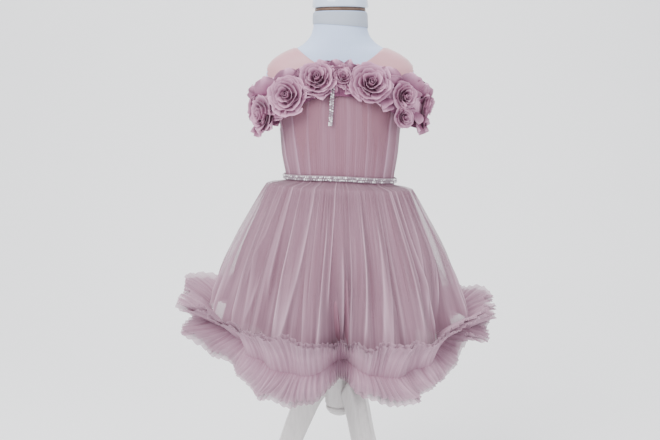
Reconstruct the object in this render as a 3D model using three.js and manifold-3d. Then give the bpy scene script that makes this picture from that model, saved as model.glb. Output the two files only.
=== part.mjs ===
// A toddler's party dress, worn by a limbless child-size dress form on a tripod stand.
// Millimetres, +Z up, the dress facing -Y. The origin is on the floor, under the middle of the part.

import * as THREE from "three";
import { mergeVertices } from "three/addons/utils/BufferGeometryUtils.js";
import Module from "manifold-3d";

const wasm = await Module();
wasm.setup();

// Driving dimensions. Heights of the form and the dress are measured from the waist seam.
const WAIST_Z = 600; // floor to waist seam
const SEAM = 0.3; // free space between neighbouring pieces
const BODY_EASE = 0.6; // the form's skin to the inside of the dress
const SATIN = 1.2; // walls of cloth, as thick as a rigid stand-in needs
const TULLE = 1.2;
const CHIFFON = 1.4;
const LEAN = 0.045; // the waist and skirt sit this much lower for each mm towards +X, as worn
const WAIST_RISE = 10; // how far the waist seam climbs over the belly, at the front centre
const SQUARENESS = 2.2; // power of the body's oval sections, 2 being an ellipse
const DEG = Math.PI / 180;
const FULL_TURN = 2 * Math.PI;
const FRONT = -90 * DEG; // plan angles run from +X towards +Y

// The form: half width and half depth of its oval section at each height.
const FORM = [
  { z: -120, halfWidth: 95, halfDepth: 79 },
  { z: -90, halfWidth: 98, halfDepth: 82 },
  { z: -50, halfWidth: 93, halfDepth: 78 },
  { z: 0, halfWidth: 81, halfDepth: 66 },
  { z: 45, halfWidth: 87, halfDepth: 70 },
  { z: 80, halfWidth: 90, halfDepth: 74 },
  { z: 105, halfWidth: 95, halfDepth: 74 },
  { z: 130, halfWidth: 106, halfDepth: 70 },
  { z: 152, halfWidth: 115, halfDepth: 62 },
  { z: 168, halfWidth: 113, halfDepth: 54 },
  { z: 182, halfWidth: 105, halfDepth: 47 },
  { z: 192, halfWidth: 92, halfDepth: 44 },
  { z: 199, halfWidth: 78, halfDepth: 42.5 },
  { z: 205, halfWidth: 63, halfDepth: 41.5 },
  { z: 213, halfWidth: 52, halfDepth: 41 },
  { z: 224, halfWidth: 44, halfDepth: 40.5 },
  { z: 240, halfWidth: 40.5, halfDepth: 40 },
  { z: 257, halfWidth: 40, halfDepth: 39.5 },
];

// Rows of points: the form's hips, the bodice and the form inside it, and the form's neck.
const HIP_HEIGHTS = [-120, -85, -45, -24, -9];
const BODICE_HEIGHTS = [0, 35, 70, 100, 126, 152, 172, 187, 198, 210];
const NECK_HEIGHTS = [224, 236, 257];
const BODY_COLUMNS = 48;
const OVERLAY_TOP = 152;

// Where each layer of the bodice lies, out from the form's skin.
const SATIN_IN = BODY_EASE;
const SATIN_OUT = SATIN_IN + SATIN;
const TULLE_IN = SATIN_OUT + 3 * SEAM;
const TULLE_OUT = TULLE_IN + TULLE;
const PLEAT_RISE = 1.3; // a pleat's edge over the tulle's own surface
const BELT_IN = TULLE_OUT + 1.6;
const BELT_OUT = BELT_IN + 1.6;
const BELT_HALF_HEIGHT = 4.6;
const PLEATS_A_QUARTER = 7; // from the front centre to a side seam

// The skirt's two layers. Hems are plan radii, and drops are down from the waist. puff is the
// share of the spread that comes at once, where the gathers spring out under the belt. The higher
// flare is, the sooner a layer spreads on its way down.
const WAIST_SEAM_Z = -2;
const HEADING_TOP = WAIST_SEAM_Z - 1;
const HEADING_END = -6.5; // where the gathered heading leaves the belt
const PUFF_END = 0.03; // share of the way down where the gathers have sprung out
const FOLD_START = 0.35; // share of the way down at which the large folds begin
const FOLD_LIFT = 0.15; // how much each mm of fold lifts the hem
const HEM_SQUARENESS = 1.88; // power of the hem's oval, flatter than an ellipse between its axes
const OVERSKIRT = {
  heading: TULLE_IN + 1.1,
  hemLeft: 214,
  hemRight: 211,
  hemFront: 168,
  hemBack: 170,
  dropSide: 210,
  dropFront: 265,
  dropBack: 255,
  foldShare: 1,
  puff: 0.2,
  flare: 1.15,
  ripple: 5,
  thickness: TULLE,
};
const LINING = {
  heading: SATIN_IN + 1.2,
  hemLeft: 164,
  hemRight: 160,
  hemFront: 140,
  hemBack: 150,
  dropSide: 218,
  dropFront: 248,
  dropBack: 243,
  foldShare: 0.82,
  puff: 0.06,
  flare: 1.4,
  ripple: 0,
  thickness: SATIN,
};
const RIPPLES = 24; // smaller folds round the overskirt
const SKIRT_COLUMNS = 144; // the hem ruffle uses the same ones
const SKIRT_SHARES = [1, 0.65, 0.33, PUFF_END, 0]; // rows of points, from the hem up
const LINING_COLUMNS = 48;
const LINING_SHARES = [1, 0.6, 0.25, 0];

// The large folds of the skirt: where each lies, how far in it goes at the hem, and its half width.
const BIG_FOLDS = [
  { angle: -88, depth: 78, width: 14 },
  { angle: -148, depth: 14, width: 8 },
  { angle: -176, depth: 10, width: 9 },
  { angle: -26, depth: 36, width: 8 },
  { angle: 4, depth: 14, width: 9 },
  { angle: 36, depth: 22, width: 11 },
  { angle: 78, depth: 30, width: 12 },
  { angle: 116, depth: 20, width: 11 },
  { angle: 152, depth: 18, width: 10 },
];

// The hem ruffle is one strip, gathered along its middle, so a frill stands up and another hangs.
// spread turns a frill, in degrees for each mm that the skirt folds in behind it.
const RUFFLE = {
  waves: 36,
  up: { width: 39, elevationFront: 74, elevationSide: 24, spread: -0.7, wave: 6.5 },
  down: { width: 48, elevationFront: -64, elevationSide: -36, spread: 0.35, wave: 8 },
  thickness: CHIFFON,
  out: 2.1, // middle of its wall from the middle of the skirt's
};

// The garland's gathered band: half its way, from the front centre round to behind the arm.
// turn is in degrees from the front, low and high are its edges, and the outs are how far each
// edge stands off the bodice.
const BAND = [
  { turn: 0, low: 131, high: 172, outLow: 0, outHigh: 0 },
  { turn: 25, low: 128, high: 171, outLow: 0, outHigh: 0 },
  { turn: 45, low: 114, high: 166, outLow: 5, outHigh: 0 },
  { turn: 65, low: 93, high: 158, outLow: 20, outHigh: 4 },
  { turn: 90, low: 78, high: 147, outLow: 33, outHigh: 12 },
  { turn: 110, low: 82, high: 138, outLow: 22, outHigh: 12 },
  { turn: 134, low: 104, high: 130, outLow: 0, outHigh: 0 },
];
const BAND_GATHERS = 20;
const BAND_COLUMNS = 80;
const BAND_OUT = TULLE_OUT + PLEAT_RISE + 0.4 + CHIFFON / 2;
const BAND_GATHER_RISE = 0.9;

// Chiffon roses, from behind the left arm to the right one. turn runs along the band, and lift
// is how far a rose's middle stands off the band where its back rests on a hollow of it.
const ROSES = [
  { turn: -97, z: 110, radius: 21, lift: 1.8 },
  { turn: -71, z: 106, radius: 22, lift: 0.8 },
  { turn: -51, z: 132, radius: 24.5, lift: 0 },
  { turn: -29, z: 153, radius: 23.5, lift: 0 },
  { turn: 4, z: 156, radius: 14, lift: 0 },
  { turn: 35, z: 146, radius: 26, lift: 0 },
  { turn: 60, z: 132, radius: 17, lift: -0.2 },
  { turn: 58, z: 102, radius: 13.5, lift: 0.2 },
  { turn: 84, z: 121, radius: 19, lift: 0.5 },
];
const ROSE_SEGMENTS = 14;
const ROSE_OFF_BAND = BAND_GATHER_RISE + CHIFFON / 2 + 0.35;
// A rose in section, as shares of its radius: rings of petals, and the hollows between them.
// petals and bulge say how many petals the ring has and how far their middles stand out.
const ROSE_SECTION = [
  { reach: 0.5, height: 0.0, petals: 5, bulge: 0 },
  { reach: 0.96, height: 0.3, petals: 5, bulge: 0.07 },
  { reach: 0.74, height: 0.22, petals: 5, bulge: 0 },
  { reach: 0.68, height: 0.56, petals: 4, bulge: 0.06 },
  { reach: 0.46, height: 0.34, petals: 4, bulge: 0 },
  { reach: 0.36, height: 0.7, petals: 3, bulge: 0.05 },
  { reach: 0.16, height: 0.42, petals: 3, bulge: 0 },
];

// The necklace-like strand and the clasp it hangs from.
const STRAND = { topX: -10, endX: -13.5, topZ: 148, endZ: 90, halfWidth: 3, thickness: 1.8 };

// The stand: a turned hub, a post, and three curved legs cut from board.
const POST_RADIUS = 12.5;
const HUB_RADIUS = 24;
const HUB_TOP = 306;
const LEG_THICKNESS = 23;
const LEG_CORNER = 5;
const LEG_ANGLES = { leg_left: 180, leg_front: -60, leg_back: 60 };
// A leg's middle line, out from the post and up from the floor, and how deep the board is there.
const LEG = [
  { out: 10, up: 282, depth: 46 },
  { out: 42, up: 257, depth: 44 },
  { out: 68, up: 200, depth: 39 },
  { out: 92, up: 138, depth: 34 },
  { out: 124, up: 78, depth: 30 },
  { out: 162, up: 34, depth: 27 },
  { out: 195, up: 13, depth: 27 },
  { out: 217, up: 10.5, depth: 25 },
];
const LEG_STATIONS = 10;

// A smooth value between the rows of a table that rise in the key column. It never overshoots.
function column(table, key, name, at) {
  const last = table.length - 1;
  if (at <= table[0][key]) return table[0][name];
  if (at >= table[last][key]) return table[last][name];
  const i = table.findIndex((row, n) => n < last && at < table[n + 1][key]);
  const slope = (n) => (table[n + 1][name] - table[n][name]) / (table[n + 1][key] - table[n][key]);
  const tangent = (n) => {
    if (n === 0 || n === last) return slope(Math.min(n, last - 1));
    const [before, after] = [slope(n - 1), slope(n)];
    return before * after <= 0 ? 0 : (2 * before * after) / (before + after);
  };
  const span = table[i + 1][key] - table[i][key];
  const t = (at - table[i][key]) / span;
  return (
    table[i][name] * (1 + 2 * t) * (1 - t) ** 2 +
    tangent(i) * span * t * (1 - t) ** 2 +
    table[i + 1][name] * t * t * (3 - 2 * t) +
    tangent(i + 1) * span * t * t * (t - 1)
  );
}

function smoothStep(t) {
  const x = Math.min(1, Math.max(0, t));
  return x * x * (3 - 2 * x);
}

function steps(count, from, to) {
  return Array.from({ length: count + 1 }, (_, i) => from + ((to - from) * i) / count);
}

// Evenly spaced angles for a closed ring, without the repeated last one.
function ringAngles(count) {
  return steps(count, FRONT, FRONT + FULL_TURN).slice(0, count);
}

// Plan radius of an oval at an angle.
function ovalRadius(angle, halfWidth, halfDepth, power) {
  const across = Math.abs(Math.cos(angle) / halfWidth) ** power;
  const along = Math.abs(Math.sin(angle) / halfDepth) ** power;
  return (across + along) ** (-1 / power);
}

// A point of the form's skin at a plan angle and a height over the waist.
function skinPoint(angle, z) {
  const radius = ovalRadius(
    angle,
    column(FORM, "z", "halfWidth", z),
    column(FORM, "z", "halfDepth", z),
    SQUARENESS,
  );
  return new THREE.Vector3(radius * Math.cos(angle), radius * Math.sin(angle), z);
}

function skinNormal(angle, z) {
  const step = 0.5;
  const turn = step / 100;
  const along = skinPoint(angle + turn, z).sub(skinPoint(angle - turn, z));
  const up = skinPoint(angle, z + step).sub(skinPoint(angle, z - step));
  return along.cross(up).normalize();
}

// A point that lies out from the form's skin.
function bodyPoint(angle, z, out) {
  return skinPoint(angle, z).addScaledVector(skinNormal(angle, z), out);
}

function leanAt(point) {
  return -LEAN * point.x;
}

// How far the waist seam stands above its level at the back, at a plan angle.
function waistRise(angle) {
  return WAIST_RISE * ((1 - Math.sin(angle)) / 2) ** 1.7;
}

// A geometry from points and triangles, with its faces turned outwards.
function solid(points, faces) {
  let sixVolumes = 0;
  for (const [a, b, c] of faces) {
    sixVolumes += points[a].dot(new THREE.Vector3().crossVectors(points[b], points[c]));
  }
  const outward = sixVolumes > 0 ? faces : faces.map(([a, b, c]) => [a, c, b]);
  const geometry = new THREE.BufferGeometry().setFromPoints(points);
  geometry.setIndex(outward.flat());
  geometry.computeVertexNormals();
  return geometry;
}

// A wall between two grids of points, row by row. A round wall joins its last column to its first.
function wall(outer, inner, round) {
  const rows = outer.length;
  const columns = outer[0].length;
  const points = [...outer.flat(), ...inner.flat()];
  const at = (side, row, col) => side * rows * columns + row * columns + (col % columns);
  const faces = [];
  const quad = (a, b, c, d) => faces.push([a, b, c], [a, c, d]);
  const spans = round ? columns : columns - 1;
  for (let col = 0; col < spans; col++) {
    for (let row = 0; row < rows - 1; row++) {
      quad(at(0, row, col), at(0, row, col + 1), at(0, row + 1, col + 1), at(0, row + 1, col));
      quad(at(1, row, col), at(1, row + 1, col), at(1, row + 1, col + 1), at(1, row, col + 1));
    }
    quad(at(0, 0, col), at(1, 0, col), at(1, 0, col + 1), at(0, 0, col + 1));
    const top = rows - 1;
    quad(at(0, top, col), at(0, top, col + 1), at(1, top, col + 1), at(1, top, col));
  }
  for (let row = 0; row < rows - 1 && !round; row++) {
    const end = columns - 1;
    quad(at(0, row, 0), at(0, row + 1, 0), at(1, row + 1, 0), at(1, row, 0));
    quad(at(0, row, end), at(1, row, end), at(1, row + 1, end), at(0, row + 1, end));
  }
  return solid(points, faces);
}

// The unit normal of a grid of points at each of them.
function gridNormals(grid, round) {
  const columns = grid[0].length;
  return grid.map((line, row) =>
    line.map((_, col) => {
      const before = round ? (col + columns - 1) % columns : Math.max(col - 1, 0);
      const after = round ? (col + 1) % columns : Math.min(col + 1, columns - 1);
      const below = grid[Math.max(row - 1, 0)][col];
      const above = grid[Math.min(row + 1, grid.length - 1)][col];
      const along = line[after].clone().sub(line[before]);
      return along.cross(above.clone().sub(below)).normalize();
    }),
  );
}

function moved(grid, normals, distance) {
  return grid.map((line, row) =>
    line.map((p, col) => p.clone().addScaledVector(normals[row][col], distance)),
  );
}

// Cloth of an even thickness on both sides of a grid of points.
function cloth(grid, thickness, round) {
  const normals = gridNormals(grid, round);
  return wall(moved(grid, normals, thickness / 2), moved(grid, normals, -thickness / 2), round);
}

// A closed solid from rings of points, bottom to top, with flat ends.
function loft(rings) {
  const columns = rings[0].length;
  const points = rings.flat();
  const faces = [];
  for (let row = 0; row < rings.length - 1; row++) {
    for (let col = 0; col < columns; col++) {
      const [a, b] = [row * columns + col, row * columns + ((col + 1) % columns)];
      faces.push([a, b, b + columns], [a, b + columns, a + columns]);
    }
  }
  for (const [row, turned] of [
    [0, true],
    [rings.length - 1, false],
  ]) {
    const middle = new THREE.Vector3();
    rings[row].forEach((p) => middle.addScaledVector(p, 1 / columns));
    const centre = points.push(middle) - 1;
    for (let col = 0; col < columns; col++) {
      const [a, b] = [row * columns + col, row * columns + ((col + 1) % columns)];
      faces.push(turned ? [centre, b, a] : [centre, a, b]);
    }
  }
  return solid(points, faces);
}

// A turned solid about the Z axis from [radius, height] pairs that start and end on the axis.
function turned(profile, segments) {
  const geometry = new THREE.LatheGeometry(
    profile.map(([radius, height]) => new THREE.Vector2(radius, height)),
    segments,
  );
  geometry.rotateX(90 * DEG);
  geometry.deleteAttribute("normal");
  geometry.deleteAttribute("uv");
  const merged = mergeVertices(geometry, 1e-4);
  const position = merged.getAttribute("position");
  const points = Array.from({ length: position.count }, (_, i) =>
    new THREE.Vector3().fromBufferAttribute(position, i),
  );
  const corners = Array.from(merged.index.array);
  const faces = Array.from({ length: corners.length / 3 }, (_, i) =>
    corners.slice(3 * i, 3 * i + 3),
  ).filter(([a, b, c]) => a !== b && b !== c && c !== a);
  return solid(points, faces);
}

function toManifold(geometry) {
  const bare = geometry.clone();
  bare.deleteAttribute("normal");
  bare.deleteAttribute("uv");
  const merged = mergeVertices(bare, 1e-4);
  return new wasm.Manifold(
    new wasm.Mesh({
      numProp: 3,
      vertProperties: new Float32Array(merged.attributes.position.array),
      triVerts: new Uint32Array(merged.index.array),
    }),
  );
}

function toGeometry(manifold) {
  const { vertProperties, triVerts } = manifold.getMesh();
  const geometry = new THREE.BufferGeometry();
  geometry.setAttribute("position", new THREE.BufferAttribute(vertProperties, 3));
  geometry.setIndex(new THREE.BufferAttribute(triVerts, 1));
  geometry.computeVertexNormals();
  return geometry;
}

// An outline in the XZ plane, run through the part from one Y to another.
function alongY(shape, from, to) {
  const geometry = new THREE.ExtrudeGeometry(shape, { depth: to - from, bevelEnabled: false });
  geometry.rotateX(90 * DEG).translate(0, to, 0);
  return toManifold(geometry);
}

// An outline in the YZ plane, run right through the part along X.
function alongX(shape, reach) {
  const geometry = new THREE.ExtrudeGeometry(shape, { depth: 2 * reach, bevelEnabled: false });
  geometry.rotateX(90 * DEG).rotateZ(90 * DEG).translate(-reach, 0, 0);
  return toManifold(geometry);
}

function block(low, high) {
  const size = high.map((value, axis) => value - low[axis]);
  const geometry = new THREE.BoxGeometry(...size);
  geometry.translate(...low.map((value, axis) => value + size[axis] / 2));
  return toManifold(geometry);
}

// Materials, in the colours of the real pieces.
const finish = (color, roughness, metalness = 0) =>
  new THREE.MeshStandardMaterial({ color, roughness, metalness });
const MATERIALS = {
  satin: finish(0xdcb4b8, 0.45),
  tulle: finish(0xb998a4, 0.85),
  lining: finish(0xa87a82, 0.5),
  chiffon: finish(0xa8839b, 0.75),
  jewels: finish(0xd6d2da, 0.15, 0.6),
  jersey: finish(0xd6dfec, 0.8),
  trim: finish(0xb9c0ca, 0.8),
  cap: finish(0xdbe4f2, 0.12),
  wood: finish(0x6b4a3a, 0.5),
  paint: finish(0xd9d6d4, 0.25),
};

const part = new THREE.Group();
const dress = new THREE.Group();
dress.position.z = WAIST_Z;
const form = new THREE.Group();
form.position.z = WAIST_Z;
const stand = new THREE.Group();
part.add(dress, form, stand);

function add(group, name, geometry, material) {
  const mesh = new THREE.Mesh(geometry, material);
  mesh.name = name;
  group.add(mesh);
  return mesh;
}

// The form: a torso covered in jersey, a band round its neck, and a cap on a thin disc.
const NECK_TOP = NECK_HEIGHTS.at(-1);

function makeForm() {
  const angles = ringAngles(BODY_COLUMNS);
  const rings = [
    ...HIP_HEIGHTS.map((z) => angles.map((a) => skinPoint(a, z))),
    ...BODICE_HEIGHTS.map((z) => angles.map((a) => skinPoint(a, bodiceHeight(a, z)))),
    ...NECK_HEIGHTS.map((z) => angles.map((a) => skinPoint(a, z))),
  ];
  add(form, "form_torso", loft(rings), MATERIALS.jersey);

  const bandFrom = 236;
  const bandTo = 255;
  const bandAngles = ringAngles(32);
  const band = (out) =>
    [bandFrom, bandTo].map((z) => bandAngles.map((a) => bodyPoint(a, z, out)));
  add(form, "form_neck_band", wall(band(1.9), band(0.7), true), MATERIALS.trim);

  const discRadius = 38.5;
  const discTop = NECK_TOP + SEAM + 5;
  const disc = [
    [0, NECK_TOP + SEAM],
    [discRadius, NECK_TOP + SEAM],
    [discRadius, discTop],
    [0, discTop],
  ];
  add(form, "form_neck_disc", turned(disc, 24), MATERIALS.wood);

  const capRadius = 43;
  const capLip = discTop + SEAM;
  const cap = [
    [0, capLip],
    [capRadius - 1.5, capLip],
    [capRadius, capLip + 2],
    [capRadius - 1, capLip + 9],
  ];
  const domeHeight = 22;
  const domeSteps = 5;
  for (let i = 1; i < domeSteps; i++) {
    const tilt = (i / domeSteps) * 90 * DEG;
    cap.push([(capRadius - 1) * Math.cos(tilt), capLip + 9 + domeHeight * Math.sin(tilt)]);
  }
  cap.push([0, capLip + 9 + domeHeight]);
  add(form, "form_neck_cap", turned(cap, 24), MATERIALS.cap);
}

// The bodice's satin panels and their tulle overlay. One shell of each is worked out all round,
// then cut at the neck, the armholes and the seams.
const ARMHOLE = { z: 130, halfDepth: 30, halfHeight: 49 };
const NECKLINE = { halfWidth: 65, z: 203, frontZ: 168, backZ: 186, above: 300 };

// Degrees from the front centre, 0 to 180, at a plan angle.
function turnFromFront(angle) {
  const turn = Math.abs((angle - FRONT) / DEG) % 360;
  return turn > 180 ? 360 - turn : turn;
}

// A row's height on the bodice. The lowest one follows the leaning waist seam, the top one is level.
function bodiceHeight(angle, z) {
  const seam = WAIST_SEAM_Z + leanAt(skinPoint(angle, 0)) + waistRise(angle);
  return z + seam * (1 - z / BODICE_HEIGHTS.at(-1));
}

function necklineShape(dipZ) {
  const { halfWidth, z, above } = NECKLINE;
  const shape = new THREE.Shape();
  shape.moveTo(-halfWidth, above);
  shape.lineTo(-halfWidth, z);
  shape.quadraticCurveTo(-halfWidth / 2, dipZ + 3, 0, dipZ);
  shape.quadraticCurveTo(halfWidth / 2, dipZ + 3, halfWidth, z);
  shape.lineTo(halfWidth, above);
  return shape;
}

function armholeShape(extra) {
  const shape = new THREE.Shape();
  const { z, halfDepth, halfHeight } = ARMHOLE;
  shape.absellipse(0, z, halfDepth + extra, halfHeight + extra, 0, FULL_TURN);
  return shape;
}

// How far the tulle's pleats stand up. They die away at the waist seam and the side seams.
function pleatRise(angle, z) {
  const quarter = (turnFromFront(angle) % 90) / 90;
  const phase = (quarter * PLEATS_A_QUARTER) % 1;
  const edge = phase < 0.34 ? 1 - phase * 2.2 : 0;
  const sideFade = smoothStep(Math.min(quarter, 1 - quarter) * 12);
  return PLEAT_RISE * edge * sideFade * smoothStep(z / 30);
}

function makeBodice() {
  const reach = 200;
  const angles = ringAngles(BODY_COLUMNS);
  const satin = (out) =>
    BODICE_HEIGHTS.map((z) => angles.map((a) => bodyPoint(a, bodiceHeight(a, z), out)));
  const shell = toManifold(wall(satin(SATIN_OUT), satin(SATIN_IN), true));
  const arms = alongX(armholeShape(0), reach);
  const frontHalf = block([-reach, -reach, -50], [reach, -SEAM / 2, 300]);
  const backLeft = block([-reach, SEAM / 2, -50], [-SEAM / 2, reach, 300]);
  const backRight = block([SEAM / 2, SEAM / 2, -50], [reach, reach, 300]);
  const open = shell.subtract(arms);
  const frontNeck = alongY(necklineShape(NECKLINE.frontZ), -reach, reach);
  const backNeck = alongY(necklineShape(NECKLINE.backZ), -reach, reach);
  const front = open.intersect(frontHalf).subtract(frontNeck);
  add(dress, "bodice_front", toGeometry(front), MATERIALS.satin);
  const back = open.subtract(backNeck);
  add(dress, "bodice_back_left", toGeometry(back.intersect(backLeft)), MATERIALS.satin);
  add(dress, "bodice_back_right", toGeometry(back.intersect(backRight)), MATERIALS.satin);

  const pleatAngles = ringAngles(4 * PLEATS_A_QUARTER * 3);
  const overlay = (outAt) =>
    BODICE_HEIGHTS.filter((z) => z <= OVERLAY_TOP).map((z) =>
      pleatAngles.map((a) => bodyPoint(a, bodiceHeight(a, z), outAt(a, z))),
    );
  const pleated = overlay((a, z) => TULLE_OUT + pleatRise(a, z));
  const plain = overlay(() => TULLE_IN);
  const skin = toManifold(wall(pleated, plain, true)).subtract(alongX(armholeShape(1), reach));
  add(dress, "overlay_front", toGeometry(skin.intersect(frontHalf)), MATERIALS.tulle);
  add(dress, "overlay_back_left", toGeometry(skin.intersect(backLeft)), MATERIALS.tulle);
  add(dress, "overlay_back_right", toGeometry(skin.intersect(backRight)), MATERIALS.tulle);
}

// A narrow strip that follows the body down a line of plan angle, moved out from the panels.
function bodyStrip(heights, angleAt, outAt, halfWidth, thickness) {
  const line = (extra) =>
    heights.map((z) => {
      const angle = angleAt(z);
      const half = halfWidth / skinPoint(angle, z).length();
      return [angle - half, angle + half].map((a) => bodyPoint(a, z, outAt(z) + extra));
    });
  return wall(line(thickness), line(0), false);
}

// The belt and the hanging strand, which carry the jewels.
function makeTrims() {
  const angles = ringAngles(60);
  const belt = (out) =>
    [-BELT_HALF_HEIGHT, BELT_HALF_HEIGHT].map((half) =>
      angles.map((a) => bodyPoint(a, half + leanAt(skinPoint(a, 0)) + waistRise(a), out)),
    );
  add(dress, "waist_belt", wall(belt(BELT_OUT), belt(BELT_IN), true), MATERIALS.jewels);

  const overBodice = TULLE_OUT + PLEAT_RISE + 2 * SEAM;
  const overBand = BAND_OUT + BAND_GATHER_RISE + CHIFFON / 2 + 2 * SEAM;
  const strandOut = (z) => overBodice + (overBand - overBodice) * smoothStep((z - 118) / 8);
  const { topX, endX, topZ, endZ, halfWidth, thickness } = STRAND;
  const strandAngle = (z) => {
    const x = topX + ((endX - topX) * (topZ - z)) / (topZ - endZ);
    return FRONT + Math.asin(x / Math.abs(skinPoint(FRONT, z).y));
  };
  const strandHeights = [endZ, 99, 108, 117, 121, 126, 137, topZ];
  const strand = bodyStrip(strandHeights, strandAngle, strandOut, halfWidth, thickness);
  add(dress, "jewel_strand", strand, MATERIALS.jewels);
}

// How far in the large folds take the hem at a plan angle.
function foldDepth(angle) {
  let total = 0;
  for (const { angle: at, depth, width } of BIG_FOLDS) {
    const away = (((angle / DEG - at + 540) % 360) - 180) / width;
    total += depth * Math.exp(-away * away);
  }
  return total;
}

// A point of a skirt layer at a plan angle, a share of the way down from the heading to the hem.
function skirtPoint(layer, angle, share) {
  const side = Math.abs(Math.cos(angle)) ** 3;
  const isBack = Math.sin(angle) > 0;
  const halfWidth = Math.cos(angle) > 0 ? layer.hemRight : layer.hemLeft;
  const halfDepth = isBack ? layer.hemBack : layer.hemFront;
  const dropMiddle = isBack ? layer.dropBack : layer.dropFront;
  const waist = bodyPoint(angle, HEADING_END, layer.heading);
  const waistRadius = Math.hypot(waist.x, waist.y);
  const hemRadius = ovalRadius(angle, halfWidth, halfDepth, HEM_SQUARENESS);

  const foldGrowth = smoothStep((share - FOLD_START) / (1 - FOLD_START));
  const fold = foldDepth(angle) * layer.foldShare * foldGrowth;

  const uneven = 0.8 * Math.sin(5 * angle) + 0.5 * Math.sin(3 * angle + 1);
  const grown = 0.2 + 0.8 * smoothStep(share * 2);
  const ripple = layer.ripple * grown * Math.cos(RIPPLES * angle + uneven) * smoothStep(share * 9);

  const sprung = layer.puff * smoothStep(share / PUFF_END);
  const spread = sprung + (1 - layer.puff) * (1 - (1 - share) ** layer.flare);
  const radius = waistRadius + (hemRadius - waistRadius) * spread - fold + ripple;
  const drop = layer.dropSide * side + dropMiddle * (1 - side) - fold * FOLD_LIFT;
  const z = HEADING_END - (drop + HEADING_END) * share + waistRise(angle) * (1 - share);
  const point = new THREE.Vector3(radius * Math.cos(angle), radius * Math.sin(angle), z);
  point.z += leanAt(point);
  return point;
}

// The rows of a skirt layer from its hem up to its gathered heading in the waist seam.
function skirtGrid(layer, angles, shares) {
  const grid = shares.map((share) => angles.map((a) => skirtPoint(layer, a, share)));
  grid.push(
    angles.map((a) => {
      const top = bodyPoint(a, HEADING_TOP, layer.heading);
      top.z += leanAt(top) + waistRise(a);
      return top;
    }),
  );
  return grid;
}

function makeSkirts() {
  const angles = ringAngles(SKIRT_COLUMNS);
  const overskirt = skirtGrid(OVERSKIRT, angles, SKIRT_SHARES);
  add(dress, "overskirt", cloth(overskirt, OVERSKIRT.thickness, true), MATERIALS.tulle);
  const lining = skirtGrid(LINING, ringAngles(LINING_COLUMNS), LINING_SHARES);
  add(dress, "skirt_lining", cloth(lining, LINING.thickness, true), MATERIALS.lining);

  // The ruffle starts from the overskirt's own hem points, moved out.
  const normals = gridNormals(overskirt, true)[0];
  const frillPoint = (frill, hem, angle, share) => {
    const side = Math.cos(angle) ** 2;
    const { width, elevationFront, elevationSide } = frill;
    const spread = Math.min(foldDepth(angle), 60) * frill.spread;
    const elevation = (elevationFront + (elevationSide - elevationFront) * side + spread) * DEG;
    const phase = RUFFLE.waves * angle + 0.7 * Math.sin(4 * angle);
    const wave = frill.wave * Math.cos(phase) * share;
    const fullness = 1.16 - 0.26 * smoothStep(foldDepth(angle) / 30);
    const length = width * share * fullness;
    const outward = length * Math.cos(elevation) - wave * Math.sin(elevation);
    const upward = length * Math.sin(elevation) + wave * Math.cos(elevation);
    return hem
      .clone()
      .add(new THREE.Vector3(outward * Math.cos(angle), outward * Math.sin(angle), upward));
  };
  const rows = [
    [RUFFLE.down, 1],
    [RUFFLE.down, 0],
    [RUFFLE.up, 1],
  ];
  const ruffle = rows.map(([frill, share]) =>
    angles.map((a, col) => {
      const hem = overskirt[0][col].clone().addScaledVector(normals[col], RUFFLE.out);
      return frillPoint(frill, hem, a, share);
    }),
  );
  add(dress, "hem_ruffle", cloth(ruffle, RUFFLE.thickness, true), MATERIALS.tulle);
}

// A point of the garland's band, at degrees from the front and a share of its height.
function bandPoint(turn, share, out) {
  const row = (name) => column(BAND, "turn", name, Math.abs(turn));
  const angle = FRONT + turn * DEG;
  const z = row("low") + (row("high") - row("low")) * share;
  const standOff = row("outLow") + (row("outHigh") - row("outLow")) * share;
  const away = new THREE.Vector3(Math.cos(angle), Math.sin(angle), 0);
  return bodyPoint(angle, z, BAND_OUT + out).addScaledVector(away, standOff);
}

// A rose lies with its back to +Z's foot and opens towards +Z.
function roseGeometry(radius, spin) {
  const angles = steps(ROSE_SEGMENTS, 0, FULL_TURN).slice(0, ROSE_SEGMENTS);
  const rings = ROSE_SECTION.map(({ reach, height, petals, bulge }, ring) =>
    angles.map((a) => {
      const lobe = Math.abs(Math.cos((petals * a) / 2 + ring * 1.1 + spin));
      const out = radius * (reach - bulge + 2 * bulge * lobe);
      return new THREE.Vector3(
        out * Math.cos(a),
        out * Math.sin(a),
        radius * height * (0.94 + 0.12 * lobe),
      );
    }),
  );
  rings[0].forEach((p) => p.setZ(0));
  return loft(rings);
}

function makeGarland() {
  const end = BAND.at(-1).turn;
  const turns = steps(BAND_COLUMNS, -end, end);
  const band = [0, 0.5, 1].map((share) =>
    turns.map((turn) => {
      const gather = Math.cos((turn / end) * BAND_GATHERS * Math.PI);
      return bandPoint(turn, share, BAND_GATHER_RISE * (0.5 + 0.5 * gather));
    }),
  );
  add(dress, "garland_band", cloth(band, CHIFFON, false), MATERIALS.chiffon);

  ROSES.forEach(({ turn, z, radius, lift }, i) => {
    const low = column(BAND, "turn", "low", Math.abs(turn));
    const high = column(BAND, "turn", "high", Math.abs(turn));
    const share = (z - low) / (high - low);
    const centre = bandPoint(turn, share, ROSE_OFF_BAND + lift);
    const along = bandPoint(turn + 4, share, 0).sub(bandPoint(turn - 4, share, 0));
    const up = bandPoint(turn, share + 0.1, 0).sub(bandPoint(turn, share - 0.1, 0));
    const outward = along.clone().cross(up).normalize();
    const rose = add(dress, `rose_${i + 1}`, roseGeometry(radius, i * 1.7), MATERIALS.chiffon);
    rose.position.copy(centre);
    rose.quaternion.setFromUnitVectors(new THREE.Vector3(0, 0, 1), outward);
  });
}

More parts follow.
